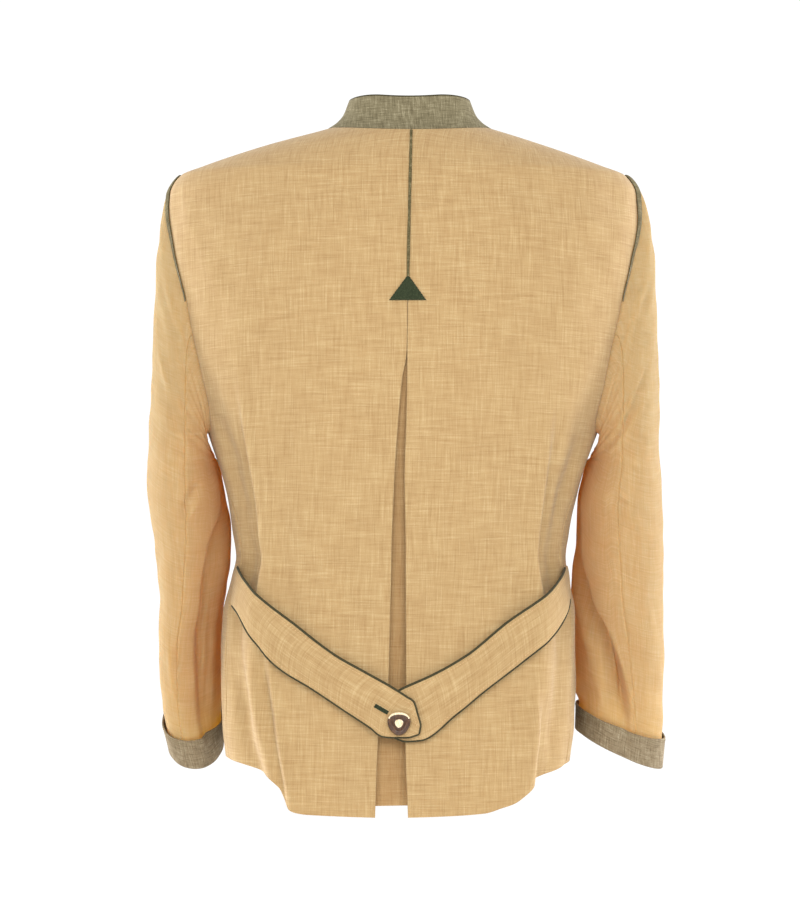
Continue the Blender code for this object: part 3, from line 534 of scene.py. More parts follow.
def grid_normals(points, ring):
    """Normals of a grid whose columns run round and whose rows run along it."""
    if ring:
        round_it = np.roll(points, -1, axis=1) - np.roll(points, 1, axis=1)
    else:
        round_it = np.gradient(points, axis=1)
    return unit(np.cross(round_it, np.gradient(points, axis=0)))


def outward_normals(points):
    """Normals of a grid that lies on the body, turned away from the body's middle."""
    normals = grid_normals(points, False)
    return normals * np.sign(np.sum(normals * points * [1, 1, 0]))


# Thin shells from grids of points
CLOTH_SHOWN = 1.3 * MM
HEM_ADDED = 0.9 * MM
EDGE_ROUND, ROUND_SHOWN = 1.0 * MM, 0.96
SHARP_DEG = 70
SEAM_DEEP, SEAM_WIDE = 0.9 * MM, 1.6 * MM
TUBE_TIP = 0.2


def arc(points, axis):
    """Length along a grid of points from its first row or column."""
    steps = np.linalg.norm(np.diff(points, axis=axis), axis=-1)
    return np.concatenate([0 * np.take(steps, [0], axis=axis), np.cumsum(steps, axis=axis)], axis=axis)


def to_end(lengths, axis):
    return np.take(lengths, [-1], axis=axis) - lengths


def along_line(at, length, line):
    """Points of a line, or what goes with them, at these lengths along it."""
    return np.stack([np.interp(at, length, line[:, c]) for c in range(3)], axis=-1)


def rounded(distance, radius=EDGE_ROUND):
    """How far a surface drops near an edge that is rounded to this radius."""
    inside = np.clip(radius - distance, 0, ROUND_SHOWN * radius)
    return radius - np.sqrt(radius**2 - inside**2)


def seam_groove(distance):
    return SEAM_DEEP * np.clip(1 - distance / SEAM_WIDE, 0, 1) ** 2


def finished(name, verts, faces, finish, uv=None):
    """The named object of points and faces, facing out, with its weave laid out in metres."""
    mesh = bpy.data.meshes.new(name)
    mesh.from_pydata(verts.tolist(), [], faces)
    for one in finish if isinstance(finish, list) else [finish]:
        mesh.materials.append(one)
    if uv is not None:
        corners = np.zeros(len(mesh.loops), dtype=np.int32)
        mesh.loops.foreach_get("vertex_index", corners)
        mesh.uv_layers.new(name="weave").data.foreach_set("uv", uv[corners].astype(np.float32).ravel())
    shape = bmesh.new()
    shape.from_mesh(mesh)
    bmesh.ops.recalc_face_normals(shape, faces=shape.faces)
    shape.to_mesh(mesh)
    shape.free()
    mesh.shade_smooth()
    mesh.set_sharp_from_angle(angle=math.radians(SHARP_DEG))
    made = bpy.data.objects.new(name, mesh)
    bpy.context.scene.collection.objects.link(made)
    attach(made, "root")
    return made


def shell(name, outer, inner, finish, ring=False, weave=None):
    """A closed thin piece between two grids of points. A ring's columns meet round a hollow."""
    rows, columns = outer.shape[:2]
    count, last = rows * columns, columns if ring else columns - 1
    row, column = np.meshgrid(np.arange(rows - 1), np.arange(last), indexing="ij")
    beside = (column + 1) % columns
    corners = [(row, column), (row, beside), (row + 1, beside), (row + 1, column)]
    top = np.stack([r * columns + c for r, c in corners], axis=-1).reshape(-1, 4)
    line = np.arange(last)
    rims = [(line, (line + 1) % columns)]
    rims.append(tuple(end + (rows - 1) * columns for end in rims[0][::-1]))
    if not ring:
        step = np.arange(rows - 1) * columns
        rims += [(step + columns, step), (step + columns - 1, step + 2 * columns - 1)]
    sides = [np.stack([b, a, a + count, b + count], axis=-1) for a, b in rims]
    faces = np.concatenate([top, top[:, ::-1] + count, *sides]).tolist()
    verts = np.concatenate([outer.reshape(-1, 3), inner.reshape(-1, 3)])
    across = arc(outer, 1)
    laid = np.stack([across - across[:, columns // 2, None], -to_end(arc(outer, 0), 0)], axis=-1)
    uv = (laid if weave is None else weave).reshape(-1, 2)
    return finished(name, verts, faces, finish, np.concatenate([uv, uv]))


def stands_for(node):
    """Hides the solid that the piece stands for."""
    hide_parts(node)


def cloth(made, node, outer, width=None, length=None):
    """Hides the solid that a piece of cloth stands for; the size that it was cut to is worked out but not
    kept.
    """
    stands_for(node)
    width = float(arc(outer, 1).max() if width is None else width)
    length = float(arc(outer, 0).max() if length is None else length)


def ring_faces(rows, sides, first=0):
    """Faces of a row of rings of points: those round it, and one across each end."""
    index = first + np.arange(rows * sides).reshape(rows, sides)
    ahead = np.roll(index, -1, axis=1)
    quads = np.stack([index[:-1], ahead[:-1], ahead[1:], index[1:]], axis=-1).reshape(-1, 4)
    return quads.tolist() + [index[0].tolist(), index[-1].tolist()]


def tube(name, path, radius, finish, sides=10):
    """A round piping along a path, with rounded ends. Its radius may change along it."""
    radius = np.broadcast_to(radius, len(path))
    along = unit(np.gradient(path, axis=0))
    aside = unit(np.cross(along, np.array([0.1, 0.2, 1.0])))[:, None]
    other = np.cross(along[:, None], aside)
    angles = np.linspace(0, 2 * np.pi, sides, endpoint=False)[None, :, None]
    around = np.cos(angles) * aside + np.sin(angles) * other
    length = arc(path, 0)
    end = np.minimum(length, length[-1] - length)
    size = radius * np.sqrt(np.clip(1 - (1 - end / radius).clip(0) ** 2, TUBE_TIP**2, 1))
    rings = path[:, None] + size[:, None, None] * around
    count = len(path)
    turned = np.broadcast_to(np.linspace(0, 2 * np.pi * radius.max(), sides), (count, sides))
    uv = np.stack([turned, np.broadcast_to(length[:, None], (count, sides))], axis=-1)
    return finished(name, rings.reshape(-1, 3), ring_faces(count, sides), finish, uv.reshape(-1, 2))


# Body panels
NEAR_EDGE = np.array([0, 0.001, 0.0025, 0.005, 0.008, 0.012, 0.018, 0.027, 0.04])
NEAR_HEM = np.array([0, 0.0006, 0.0016, 0.003, 0.005, 0.008, 0.013, 0.021])
PANEL_COLUMNS, COLUMNS_FROM, COLUMNS_TO = 74, 0.055, 0.945
SEAM_ROWS, ARMHOLE_ROWS, SHOULDER_ROWS = 84, 70, 32
SEAM_ROWS_FROM = 0.032
HEM_DEEP, HEM_EASE = 24 * MM, 2 * MM
LEAST_THICK = 0.1 * MM


def panel_columns():
    between = np.linspace(COLUMNS_FROM, COLUMNS_TO, PANEL_COLUMNS)
    return np.concatenate([NEAR_EDGE, between, 1 - NEAR_EDGE[::-1]])


def panel_rows():
    seam = np.linspace(SEAM_ROWS_FROM, 1, SEAM_ROWS, endpoint=False)
    arm = np.linspace(1, 2, ARMHOLE_ROWS, endpoint=False)
    return np.concatenate([NEAR_HEM, seam, arm, np.linspace(2, 3, SHOULDER_ROWS)])[:, None]


def body_panel(name, front, side, finish):
    """A back or a front, with a rounded hem and middle edge and a seam rolled in along its outer edge."""
    e, f = panel_rows(), panel_columns()
    base = panel(front, side, e, f)
    weave = body_weave(*panel_place(front, side, e, f), side * 180.0 if front else 0.0)
    normals = outward_normals(base)
    from_middle, from_hem = arc(base, 1), arc(base, 0)
    from_edge = np.minimum(from_middle, from_hem)
    drop = rounded(from_edge) + seam_groove(to_end(from_middle, 1))
    doubled = 1 - ease(HEM_DEEP, HEM_DEEP + HEM_EASE, from_edge)
    deep = CLOTH_SHOWN + HEM_ADDED * doubled - rounded(from_edge)
    outer = base - normals * drop[..., None]
    inner = base - normals * np.maximum(deep, drop + LEAST_THICK)[..., None]
    to_neck = arc(outer, 0)[-1, 0] + np.ptp(outer[-1, :, 2])
    cloth(shell(name, outer, inner, finish, weave=weave), name, outer, length=to_neck)


# Sleeves
NEAR_ARMHOLE = np.array([0, 0.0008, 0.0022, 0.005, 0.01, 0.018, 0.03, 0.045, 0.065])
NEAR_SEAM = np.array([0, 0.35, 0.9, 1.7, 2.8])
CAP_ROWS, CAP_ROWS_FROM, SLEEVE_ROWS = 46, 0.09, 100
SLEEVE_STEP, SEAM_BAND = 2.3, 4.5
BESIDE_DEG = 1.2

# Places along a sleeve between which its creases begin, and between which they end
CREASES_BEGIN, CREASES_END = (0, 0.12), (1.84, 1.9)


def sleeve_length(side):
    return (SLEEVES[side][0, 0] - SLEEVES[side][-1, 0]) * MM


def sleeve_creases(side, k, turn):
    long = sleeve_length(side) / MM
    scale = np.array([long, MM_PER_TURN, long, MM_PER_TURN, 1, 1, 1, 1])
    across, along = k * long, np.mod(turn, 360) * MM_PER_TURN
    shown = ease(*CREASES_BEGIN, k) * (1 - ease(*CREASES_END, k))
    lift = crease_height(across, along, SLEEVE_CREASES[side] * scale) + waves(across, along)
    return lift * shown * MM


def creased_sleeve(side, k, turn):
    """Points and outward normals of a sleeve with its creases."""
    turn = np.concatenate([[turn[0] - BESIDE_DEG], turn, [turn[-1] + BESIDE_DEG]])[None, :]
    k = k[:, None]
    base = sleeve(side, k, turn)
    lift = sleeve_creases(side, k, turn)[..., None]
    base = base + grid_normals(base, False) * side * lift
    return base[:, 1:-1], (grid_normals(base, False) * side)[:, 1:-1]


def sleeve_turns(first, last):
    count = int((last - first) / SLEEVE_STEP)
    middle = np.linspace(first + SEAM_BAND, last - SEAM_BAND, count)
    return np.concatenate([first + NEAR_SEAM, middle, last - NEAR_SEAM[::-1]])


def sleeve_panels(name, side, finish):
    """The top and under sleeve, parted at the back and front seams."""
    cap = np.linspace(CAP_ROWS_FROM, 1, CAP_ROWS, endpoint=False)
    k = np.concatenate([NEAR_ARMHOLE, cap, np.linspace(1, 2, SLEEVE_ROWS)])
    for part, first, last in (("top", FRONT_SEAM_TURN, BACK_SEAM_TURN + 360),
                              ("under", BACK_SEAM_TURN, FRONT_SEAM_TURN)):
        turn = sleeve_turns(first, last)
        base, normals = creased_sleeve(side, k, turn)
        across, along = arc(base, 1), arc(base, 0)
        z, degrees = armhole_place(np.mod(turn, 360))
        at_seam = np.clip(1 - along / SEAM_WIDE, 0, 1)[..., None]
        normals = unit(normals + (body_normal(side * degrees, z) - normals) * at_seam)
        drop = seam_groove(np.minimum(across, to_end(across, 1))) + seam_groove(along)
        outer = base - normals * drop[..., None]
        inner = base - normals * (CLOTH_SHOWN + drop[..., None])
        node = f"{part}_{name}"
        at_underarm = across[len(NEAR_ARMHOLE) + CAP_ROWS, -1]
        cloth(shell(node, outer, inner, finish), node, outer, width=at_underarm)


# Cuffs: their grid, the flare of the free edge, their unevenness, and the stitches below that edge
CUFF_TURNS, CUFF_ROWS, CUFF_ROWS_FROM, CUFF_ROWS_TO = 168, 30, 0.035, 0.965
CUFF_EDGE_ROWS = NEAR_EDGE * 0.6
CUFF_FLARE = 0.9 * MM
CUFF_UNEVEN, CUFF_WAVE_MM = 0.5 * MM, 38
CUFF_STITCH_SHARE = 0.1
INNER_ROUNDING = 0.9


def cuff_grid(side):
    """Points of the sleeve's end and their normals, from the cuff's upper edge down, and the share of it."""
    between = np.linspace(CUFF_ROWS_FROM, CUFF_ROWS_TO, CUFF_ROWS)
    share = np.concatenate([CUFF_EDGE_ROWS, between, 1 - CUFF_EDGE_ROWS[::-1]])
    k = 2 - CUFF_HEIGHT / sleeve_length(side) * (1 - share)
    turn = FRONT_SEAM_TURN + np.linspace(0, 360, CUFF_TURNS, endpoint=False)
    base = sleeve(side, k[:, None], turn[None, :])
    return base, grid_normals(base, True) * side, share[:, None], turn[None, :]


def cuff_off(turn, share, flare):
    """How far the inside of a cuff stands off the sleeve."""
    return CUFF_OFF + CUFF_FLARE * flare + (0.5 + waves(turn, share * CUFF_WAVE_MM)) * CUFF_UNEVEN


def cuff(name, side, finish):
    """A turned-back band round the sleeve's end, a little wider at its free upper edge."""
    base, normals, share, turn = cuff_grid(side)
    edge = np.minimum(arc(base, 0), to_end(arc(base, 0), 0))
    seam = seam_groove(np.abs(np.mod(turn - BACK_SEAM_TURN, 360)) * MM_PER_TURN * MM)
    off = cuff_off(turn, share, (1 - share) ** 2)
    outer = base + normals * (off + CUFF_THICK - rounded(edge) - seam)[..., None]
    inner = base + normals * (off + rounded(edge) * INNER_ROUNDING)[..., None]
    cloth(shell(name, outer, inner, finish, ring=True), name, outer)


# Collar band
COLLAR_COLUMNS = ("share", "up", "inward")
COLLAR = np.array([(0.0, 0.4, 0.0), (0.2, 8, 9), (0.5, 18, 16), (1.0, 36, 22)])
COLLAR_FRONT_GAP = 0.1
COLLAR_SIDE_DROP, COLLAR_DROP_PLACES = 0.2, (0.15, 0.5)
COLLAR_ROWS, COLLAR_STEPS = 26, 230
COLLAR_ROUND, COLLAR_INNER_ROUNDING = 0.7 * MM, 0.6
PIPING_RADIUS, PIPING_SEAT = 0.85 * MM, 0.8


def neckline(s):
    """The collar seam: s is 0 at the centre back, 0.5 at the shoulder, 1 in front, negative on the left."""
    points = np.zeros((len(s), 3))
    for front in (False, True):
        for side in (LEFT, RIGHT):
            here = ((np.abs(s) > 0.5) == front) & ((s < 0) == (side == LEFT))
            f = 2 * (1 - np.abs(s[here])) if front else 2 * np.abs(s[here])
            points[here] = panel(front, side, 3.0, f)
    return points


def collar_points(share, s):
    base = neckline(s)
    inward = unit(-base * [1, 1, 0])
    low = 1 - COLLAR_SIDE_DROP * ease(*COLLAR_DROP_PLACES, np.abs(s))[None, :, None]
    up = smooth(COLLAR, COLLAR_COLUMNS.index("up"), share)[:, None, None] * low * MM
    lean = smooth(COLLAR, COLLAR_COLUMNS.index("inward"), share)[:, None, None] * MM
    return base[None] + up * np.array([0, 0, 1]) + lean * inward[None]


def collar_steps():
    end = 1 - COLLAR_FRONT_GAP / 2
    return np.linspace(-end, end, COLLAR_STEPS)


def collar(name, finish):
    base = collar_points(np.linspace(0, 1, COLLAR_ROWS), collar_steps())
    normals = outward_normals(base)
    across = arc(base, 1)
    drop = rounded(np.minimum(across, to_end(across, 1)), COLLAR_ROUND)
    outer = base - normals * drop[..., None]
    inner = base - normals * (CLOTH - COLLAR_INNER_ROUNDING * drop)[..., None]
    cloth(shell(name, outer, inner, finish), name, outer)


def collar_piping(name, finish):
    """A round piping on the collar's upper edge."""
    rows = collar_points(np.array([0.9, 1.0]), collar_steps())
    up = unit(rows[1] - rows[0])
    inward = unit(-rows[1] * [1, 1, 0])
    made = tube(name, rows[1] + up * PIPING_RADIUS * PIPING_SEAT + inward * CLOTH / 2, PIPING_RADIUS, finish)
    stands_for(name)


# Back belt in two halves: upper edge and lower edge, from the side seam to the buttoned end
BELT_COLUMNS = ("station", "upper_x", "upper_z", "lower_x", "lower_z", "out")
BELT_LEFT = np.array([
    (0, -173, -447, -178, -486, 0.9),
    (0.07, -160, -461, -166, -495, 3.2),
    (0.15, -145, -478, -155, -513, 3.5),
    (0.3, -113, -503, -128, -545, 3.5),
    (0.5, -72, -534, -92, -568, 3.5),
    (0.65, -40, -552, -62, -588, 4.5),
    (0.8, -13, -567, -36, -605, 6.5),
    (0.88, 1, -576, -23, -614, 7.2),
    (0.91, 7, -580, -14, -615, 7.2),
    (0.95, 10.5, -591, 0, -615, 7.2),
    (1, 14, -603, 12.5, -612, 7.2),
])
BELT_RIGHT = np.array([
    (0, 165, -448, 168, -479, 0.9),
    (0.07, 152, -461, 160, -494, 3.2),
    (0.15, 139, -475, 147, -513, 3.5),
    (0.35, 100, -503, 118, -539, 3.5),
    (0.55, 62, -534, 80, -568, 3.5),
    (0.75, 27, -554, 48, -594, 3.5),
    (0.9, -4, -568, 15, -618, 3.5),
    (0.96, -14, -574, 0, -619, 3.5),
    (1, -22, -583, -13, -615, 3.5),
])
BELT_THICK = 2.2 * MM
BELT_STATIONS = 190
BELT_SHARES = np.concatenate([NEAR_EDGE, np.linspace(0.06, 0.94, 16), 1 - NEAR_EDGE[::-1]])
BELT_CROWN, CROWN_REACH = 0.7 * MM, 5 * MM
BELT_UNEVEN, BELT_WAVE_ALONG, BELT_WAVE_ACROSS = 0.35 * MM, 1.6, 2
OUTLINE_POINTS, OUTLINE_FIRST, OUTLINE_SOFTENINGS = 460, 2, 2

# The belt's piping is fuller on the upper edge, from these shares of its way on
UPPER_PIPING_ADDED, UPPER_PIPING_FROM = 0.5, (0.5, 0.62)
PIPING_LEVEL = 0.75


def belt_edges(table, station):
    return (smooth(table, c, station) * MM for c in range(1, len(BELT_COLUMNS)))


def belt_points(table, station, share, lift):
    """Points of a belt half: station along it, share from its upper to its lower edge, lift off the cloth."""
    upper_x, upper_z, lower_x, lower_z, out = belt_edges(table, station)
    x = upper_x + (lower_x - upper_x) * share
    z = upper_z + (lower_z - upper_z) * share
    return on_back(x, z, out + lift, bridged=True)


def belt_top(station):
    """How far the outside of the belt's left half lies off the cloth."""
    return smooth(BELT_LEFT, BELT_COLUMNS.index("out"), station) * MM + BELT_THICK


def belt(name, table, finish):
    """A belt half, doubled cloth that swells slightly between its piped edges."""
    station = np.linspace(0, 1, BELT_STATIONS)[:, None]
    share = BELT_SHARES[None, :]
    flat = belt_points(table, station, share, 0)
    across, along = arc(flat, 1), arc(flat, 0)
    edge = np.minimum(np.minimum(across, to_end(across, 1)), to_end(along, 0))
    swell = BELT_CROWN * (1 - np.exp(-edge / CROWN_REACH))
    uneven = BELT_UNEVEN * waves(along / MM * BELT_WAVE_ALONG, across / MM * BELT_WAVE_ACROSS)
    outer = belt_points(table, station, share, BELT_THICK + swell + uneven - rounded(edge))
    inner = belt_points(table, station, share, rounded(edge) * INNER_ROUNDING)
    cloth(shell(name, outer, inner, finish), name, outer)


def belt_outline(table, inset):
    """The belt half's edge in the back's plane, lower edge, end and upper edge, moved in by an inset."""
    station = np.linspace(0, 1, BELT_STATIONS)[OUTLINE_FIRST:]
    upper_x, upper_z, lower_x, lower_z, out = belt_edges(table, station)
    edges = ((lower_x, upper_x), (lower_z, upper_z), (out, out))
    x, z, out = (np.concatenate([low, high[::-1]]) for low, high in edges)
    line = np.stack([x, z, out], axis=-1)
    length = arc(line, 0)
    even = np.linspace(0, length[-1], OUTLINE_POINTS)
    line = along_line(even, length, line)
    for _ in range(OUTLINE_SOFTENINGS):
        line[1:-1] = (line[:-2] + 2 * line[1:-1] + line[2:]) / 4
    steps = np.gradient(line[:, :2], axis=0)
    turned = 1 if upper_x[0] < 0 else -1
    aside = unit(np.stack([steps[:, 1], -steps[:, 0]], axis=-1)) * turned
    return line[:, 0] - aside[:, 0] * inset, line[:, 1] - aside[:, 1] * inset, line[:, 2]


def belt_piping(name, table, finish):
    """A round piping along the belt half's lower edge, round its end and back along its upper edge."""
    x, z, out = belt_outline(table, -PIPING_RADIUS * PIPING_SEAT)
    added = UPPER_PIPING_ADDED * ease(*UPPER_PIPING_FROM, np.linspace(0, 1, len(x)))
    place = on_back(x, z, out + BELT_THICK * PIPING_LEVEL, bridged=True)
    made = tube(name, place, PIPING_RADIUS * (1 + added), finish)
    stands_for(name)


# Pleat insert behind the back's opening: level, half width, and how far it lies under the back's cloth
INSERT_COLUMNS = ("z", "half_width", "under")
INSERT = np.array([
    (-165, 16, 2.6),
    (-230, 30, 4),
    (-300, 40, 7),
    (-420, 46, 9),
    (-560, 50, 11),
    (-685, 54, 14),
])
INSERT_LEFT_UNDER, INSERT_DEEPEST_SHARE = 2.6 * MM, 0.4
INSERT_ROWS, INSERT_ACROSS = 120, 44

# Slight waves of the insert: their lengths across and along, the height, and the levels where they begin
SAG_ACROSS, SAG_ALONG, SAG_HEIGHT, SAG_FROM = 9 * MM, 90 * MM, 0.5 * MM, (-200, -420)


def pleat_insert(name, finish):
    """The cloth that shows where the pleat falls open, hung under both back panels."""
    z = np.linspace(INSERT[-1, 0], INSERT[0, 0], INSERT_ROWS)[:, None] * MM
    half = smooth(INSERT, INSERT_COLUMNS.index("half_width"), z / MM) * MM
    deepest = smooth(INSERT, INSERT_COLUMNS.index("under"), z / MM) * MM
    share = np.linspace(-1, 1, INSERT_ACROSS)[None, :]
    under = INSERT_LEFT_UNDER + (deepest - INSERT_LEFT_UNDER) * ease(-1, INSERT_DEEPEST_SHARE, share)
    x = pleat_middle(z) + half * share
    sag = (1 + np.cos(x / SAG_ACROSS + z / SAG_ALONG)) * SAG_HEIGHT * ease(*SAG_FROM, z / MM)
    outer, inner = (on_back(x, z + 0 * x, -under - sag + lift) for lift in (0, -CLOTH_SHOWN))
    cloth(shell(name, outer, inner, finish), name, outer)


# Flat trims on the back
STRIP_HALF_WIDTH = 1.4 * MM
STRIP_TOP_Z, STRIP_LOW_Z = -2 * MM, -154 * MM
TRIM_OFF, TRIM_THICK = 0.5 * MM, 1.3 * MM
TRIANGLE_TOP_Z, TRIANGLE_LOW_Z = -154.5 * MM, -178 * MM
TRIANGLE_HALF_WIDTH = 18.5 * MM
TRIM_ROUND, TRIM_INNER_ROUNDING = 0.6 * MM, 0.3
STRIP_ROWS, STRIP_ACROSS, TRIANGLE_ROWS, TRIANGLE_ACROSS = 110, 9, 44, 42

# Unevenness of their edges: shares and wave lengths for the strip, heights and waves for the triangle
STRIP_WAVES = ((0.07, 11 * MM, 0), (0.05, 4.3 * MM, 1))
TRIANGLE_WAVES = ((0.3 * MM, 61, 0), (0.25 * MM, 143, 2))


def back_trim(name, levels, half_widths, across, finish):
    """A flat trim that lies over the centre back seam, with a half width at each level."""
    z = levels[:, None]
    share = np.linspace(-1, 1, across)[None, :]
    x = pleat_middle(z) + half_widths[:, None] * share
    edge = np.minimum((1 - np.abs(share)) * half_widths[:, None], z - levels[0])
    drop = rounded(edge, TRIM_ROUND)
    outer = on_back(x, z + 0 * x, TRIM_OFF + TRIM_THICK - drop)
    inner = on_back(x, z + 0 * x, TRIM_OFF + TRIM_INNER_ROUNDING * drop)
    return shell(name, outer, inner, finish), outer


def centre_strip(name, finish):
    levels = np.linspace(STRIP_LOW_Z, STRIP_TOP_Z, STRIP_ROWS)
    uneven = 1 + sum(share * np.sin(levels / wave + phase) for share, wave, phase in STRIP_WAVES)
    made, _ = back_trim(name, levels, STRIP_HALF_WIDTH * uneven, STRIP_ACROSS, finish)
    stands_for(name)


def triangle(name, finish):
    share = np.linspace(0, 1, TRIANGLE_ROWS)
    levels = TRIANGLE_LOW_Z + (TRIANGLE_TOP_Z - TRIANGLE_LOW_Z) * share
    half_widths = TRIANGLE_HALF_WIDTH + (STRIP_HALF_WIDTH - TRIANGLE_HALF_WIDTH) * share
    fuzz = sum(height * np.sin(share * waves_down + phase) for height, waves_down, phase in TRIANGLE_WAVES)
    made, outer = back_trim(name, levels, half_widths + fuzz, TRIANGLE_ACROSS, finish)
    cloth(made, name, outer)


# Inset strips in the sleeve head seams: the turn along the armhole, and the strip's width there
INSET_COLUMNS = ("turn", "width")
INSET = np.array([(-60, 1.5), (-45, 2.5), (-15, 4.5), (15, 5.5), (30, 5.5), (45, 4.5), (75, 1.8), (90, 1.2)])
INSET_THICK, INSET_CLEAR = 0.9 * MM, 0.5 * MM
INSET_OFF, INSET_INNER_OFF, INSET_INNER_ROUNDING = 0.4 * MM, 0.3 * MM, 0.2
INSET_STEPS, INSET_ACROSS = 120, 15
HEAD_ROWS, HEAD_REACH = 160, 0.2
INSET_PIPING_OFF, INSET_PIPING_RADIUS, INSET_PIPING_SIDES = 0.6 * MM, 0.5 * MM, 8


def sleeve_inset(name, side, finish, piping):
    """An olive strip on the sleeve head, along the armhole seam, with a fine piping on its inner edge."""
    turn = np.linspace(INSET[0, 0], INSET[-1, 0], INSET_STEPS)
    k = np.linspace(0, 1, HEAD_ROWS) ** 2 * HEAD_REACH
    head, normals = creased_sleeve(side, k, turn)
    along = arc(head, 0)
    share = np.linspace(0, 1, INSET_ACROSS)
    width = smooth(INSET, INSET_COLUMNS.index("width"), turn) * MM
    placed, raised = (np.zeros((len(share), len(turn), 3)) for _ in range(2))
    for column in range(len(turn)):
        at = INSET_CLEAR + width[column] * share
        placed[:, column] = along_line(at, along[:, column], head[:, column])
        raised[:, column] = along_line(at, along[:, column], normals[:, column])
    edge = np.minimum(share, 1 - share)[:, None] * width[None, :]
    drop = rounded(edge, TRIM_ROUND)[..., None]
    off = unit(raised)
    outer = placed + off * (INSET_OFF + INSET_THICK - drop)
    inner = placed + off * (INSET_INNER_OFF + INSET_INNER_ROUNDING * drop)
    made = shell(name, outer, inner, finish)
    stands_for(name)
    place = placed[0] + off[0] * INSET_PIPING_OFF
    line = tube(f"{name}_piping", place, INSET_PIPING_RADIUS, piping, INSET_PIPING_SIDES)


# Carved horn buttons: a dark three-cornered face, a pale crescent at the top and a small carved flower
BUTTON_RADIUS = 11.5 * MM
BUTTON_RINGS = ((0.55, 0.0), (0.9, 0.05), (1.0, 0.22))
BUTTON_CORNER = 0.05
BUTTON_CLEAR = 0.7 * MM
BELT_BUTTON_X, BELT_BUTTON_Z = -7 * MM, -601 * MM
BUTTON_STATION = 0.93
FRONT_BUTTON_TOP_Z, FRONT_BUTTON_STEP, FRONT_BUTTONS = -100 * MM, 105 * MM, 5
BUTTON_PROFILE = np.array([
    (0.00, 0.43), (0.10, 0.43), (0.24, 0.41), (0.36, 0.36), (0.42, 0.34), (0.50, 0.39), (0.58, 0.47),
    (0.66, 0.52), (0.74, 0.53), (0.84, 0.49), (0.92, 0.42), (0.97, 0.34), (1.00, 0.23),
])

# Rings of points from the button's middle to its rim and back underneath, and the heights underneath
BUTTON_SIDES = 72
FACE_RADII = np.concatenate([np.linspace(0.02, 0.9, 38), [0.93, 0.955, 0.975, 0.99, 1.0]])
UNDER_RADII = np.array([0.99, 0.96, 0.9, 0.75, 0.55])
UNDER_HEIGHTS = np.array([0.16, 0.1, 0.05, 0.02, 0.0])

# Its carving, in shares of its radius: petals round the flower, and facets between its three corners
PETALS, PETAL_LOW, PETAL_HEIGHT, PETAL_RADIUS, PETAL_WIDTH = 6, -0.6, 0.045, 0.22, 0.12
CORNERS, FACET_PULL, FACET_RADIUS, FACET_WIDTH = 3, 0.048, 0.6, 0.2
FLOWER_OUTER, CRESCENT_INNER, CRESCENT_FROM, CRESCENT_CURVE = 0.36, 0.94, 0.42, 0.12
PALE, DARK, CARVED = 0, 1, 2


def button(name, place, facing, finishes):
    """A domed button with a slightly three-cornered plan, sitting on the cloth at a place."""
    facing = unit(np.array(facing))
    across = unit(np.cross([0, 0, 1.0], facing))
    up = np.cross(facing, across)
    angles = np.linspace(0, 2 * np.pi, BUTTON_SIDES, endpoint=False)
    corner = np.cos(CORNERS * angles + np.pi / 2)
    radii = np.concatenate([FACE_RADII, UNDER_RADII])
    front = np.arange(len(radii)) < len(FACE_RADII)
    height = np.concatenate([smooth(BUTTON_PROFILE, 1, FACE_RADII), UNDER_HEIGHTS])
    petal = np.clip(np.cos(PETALS * angles), PETAL_LOW, 1)[None, :]
    carved = np.exp(-(((radii - PETAL_RADIUS) / PETAL_WIDTH) ** 2))[:, None] * front[:, None]
    relief = height[:, None] + PETAL_HEIGHT * petal * carved
    pull = FACET_PULL * np.exp(-(((radii - FACET_RADIUS) / FACET_WIDTH) ** 2))[:, None]
    plan = (1 - BUTTON_CORNER * corner)[:, None]
    circle = (np.cos(angles)[:, None] * across + np.sin(angles)[:, None] * up) * plan
    reach = (radii[:, None] * (1 - pull * corner[None, :]))[..., None]
    points = place + BUTTON_RADIUS * (facing * relief[..., None] + reach * circle[None])
    made = finished(name, points.reshape(-1, 3), ring_faces(len(radii), BUTTON_SIDES), finishes)
    middle = (radii[:-1] + radii[1:])[:, None] / 2
    top = np.sin(angles + np.pi / BUTTON_SIDES)[None, :]
    crescent = (middle > CRESCENT_INNER - CRESCENT_CURVE * top) & (top > CRESCENT_FROM)
    face = np.where(crescent, PALE, DARK)
    face = np.where(middle < FLOWER_OUTER, CARVED, face)
    face = np.where(front[1:, None], face, DARK)
    paint = np.concatenate([face.ravel(), [CARVED, DARK]]).astype(np.int32)
    made.data.polygons.foreach_set("material_index", paint)
    stands_for(name)


def belt_button(name, finishes):
    """The button at the belt's end, on the outside of the left half."""
    x, z = np.array(BELT_BUTTON_X), np.array(BELT_BUTTON_Z)
    top = belt_top(BUTTON_STATION) + BUTTON_CLEAR
    button(name, on_back(x, z, top, bridged=True), body_normal(angle_at(x, z), z), finishes)


def front_buttons(name, finishes):
    """Buttons down the centre front, each seated just clear of the cloth where that curves up to meet it."""
    for i in range(FRONT_BUTTONS):
        z = FRONT_BUTTON_TOP_Z - i * FRONT_BUTTON_STEP
        place, facing = body(180.0, z, OVERLAP_LIFT), body_normal(180.0, np.array(z))
        rises = [np.dot(body(180.0, z + way * radius * BUTTON_RADIUS, OVERLAP_LIFT) - place, facing)
                 - height * BUTTON_RADIUS for radius, height in BUTTON_RINGS for way in (-1, 1)]
        seat = place + facing * (max(0, *rises) + BUTTON_CLEAR)
        button(f"{name}_{i + 1}", seat, facing, finishes)


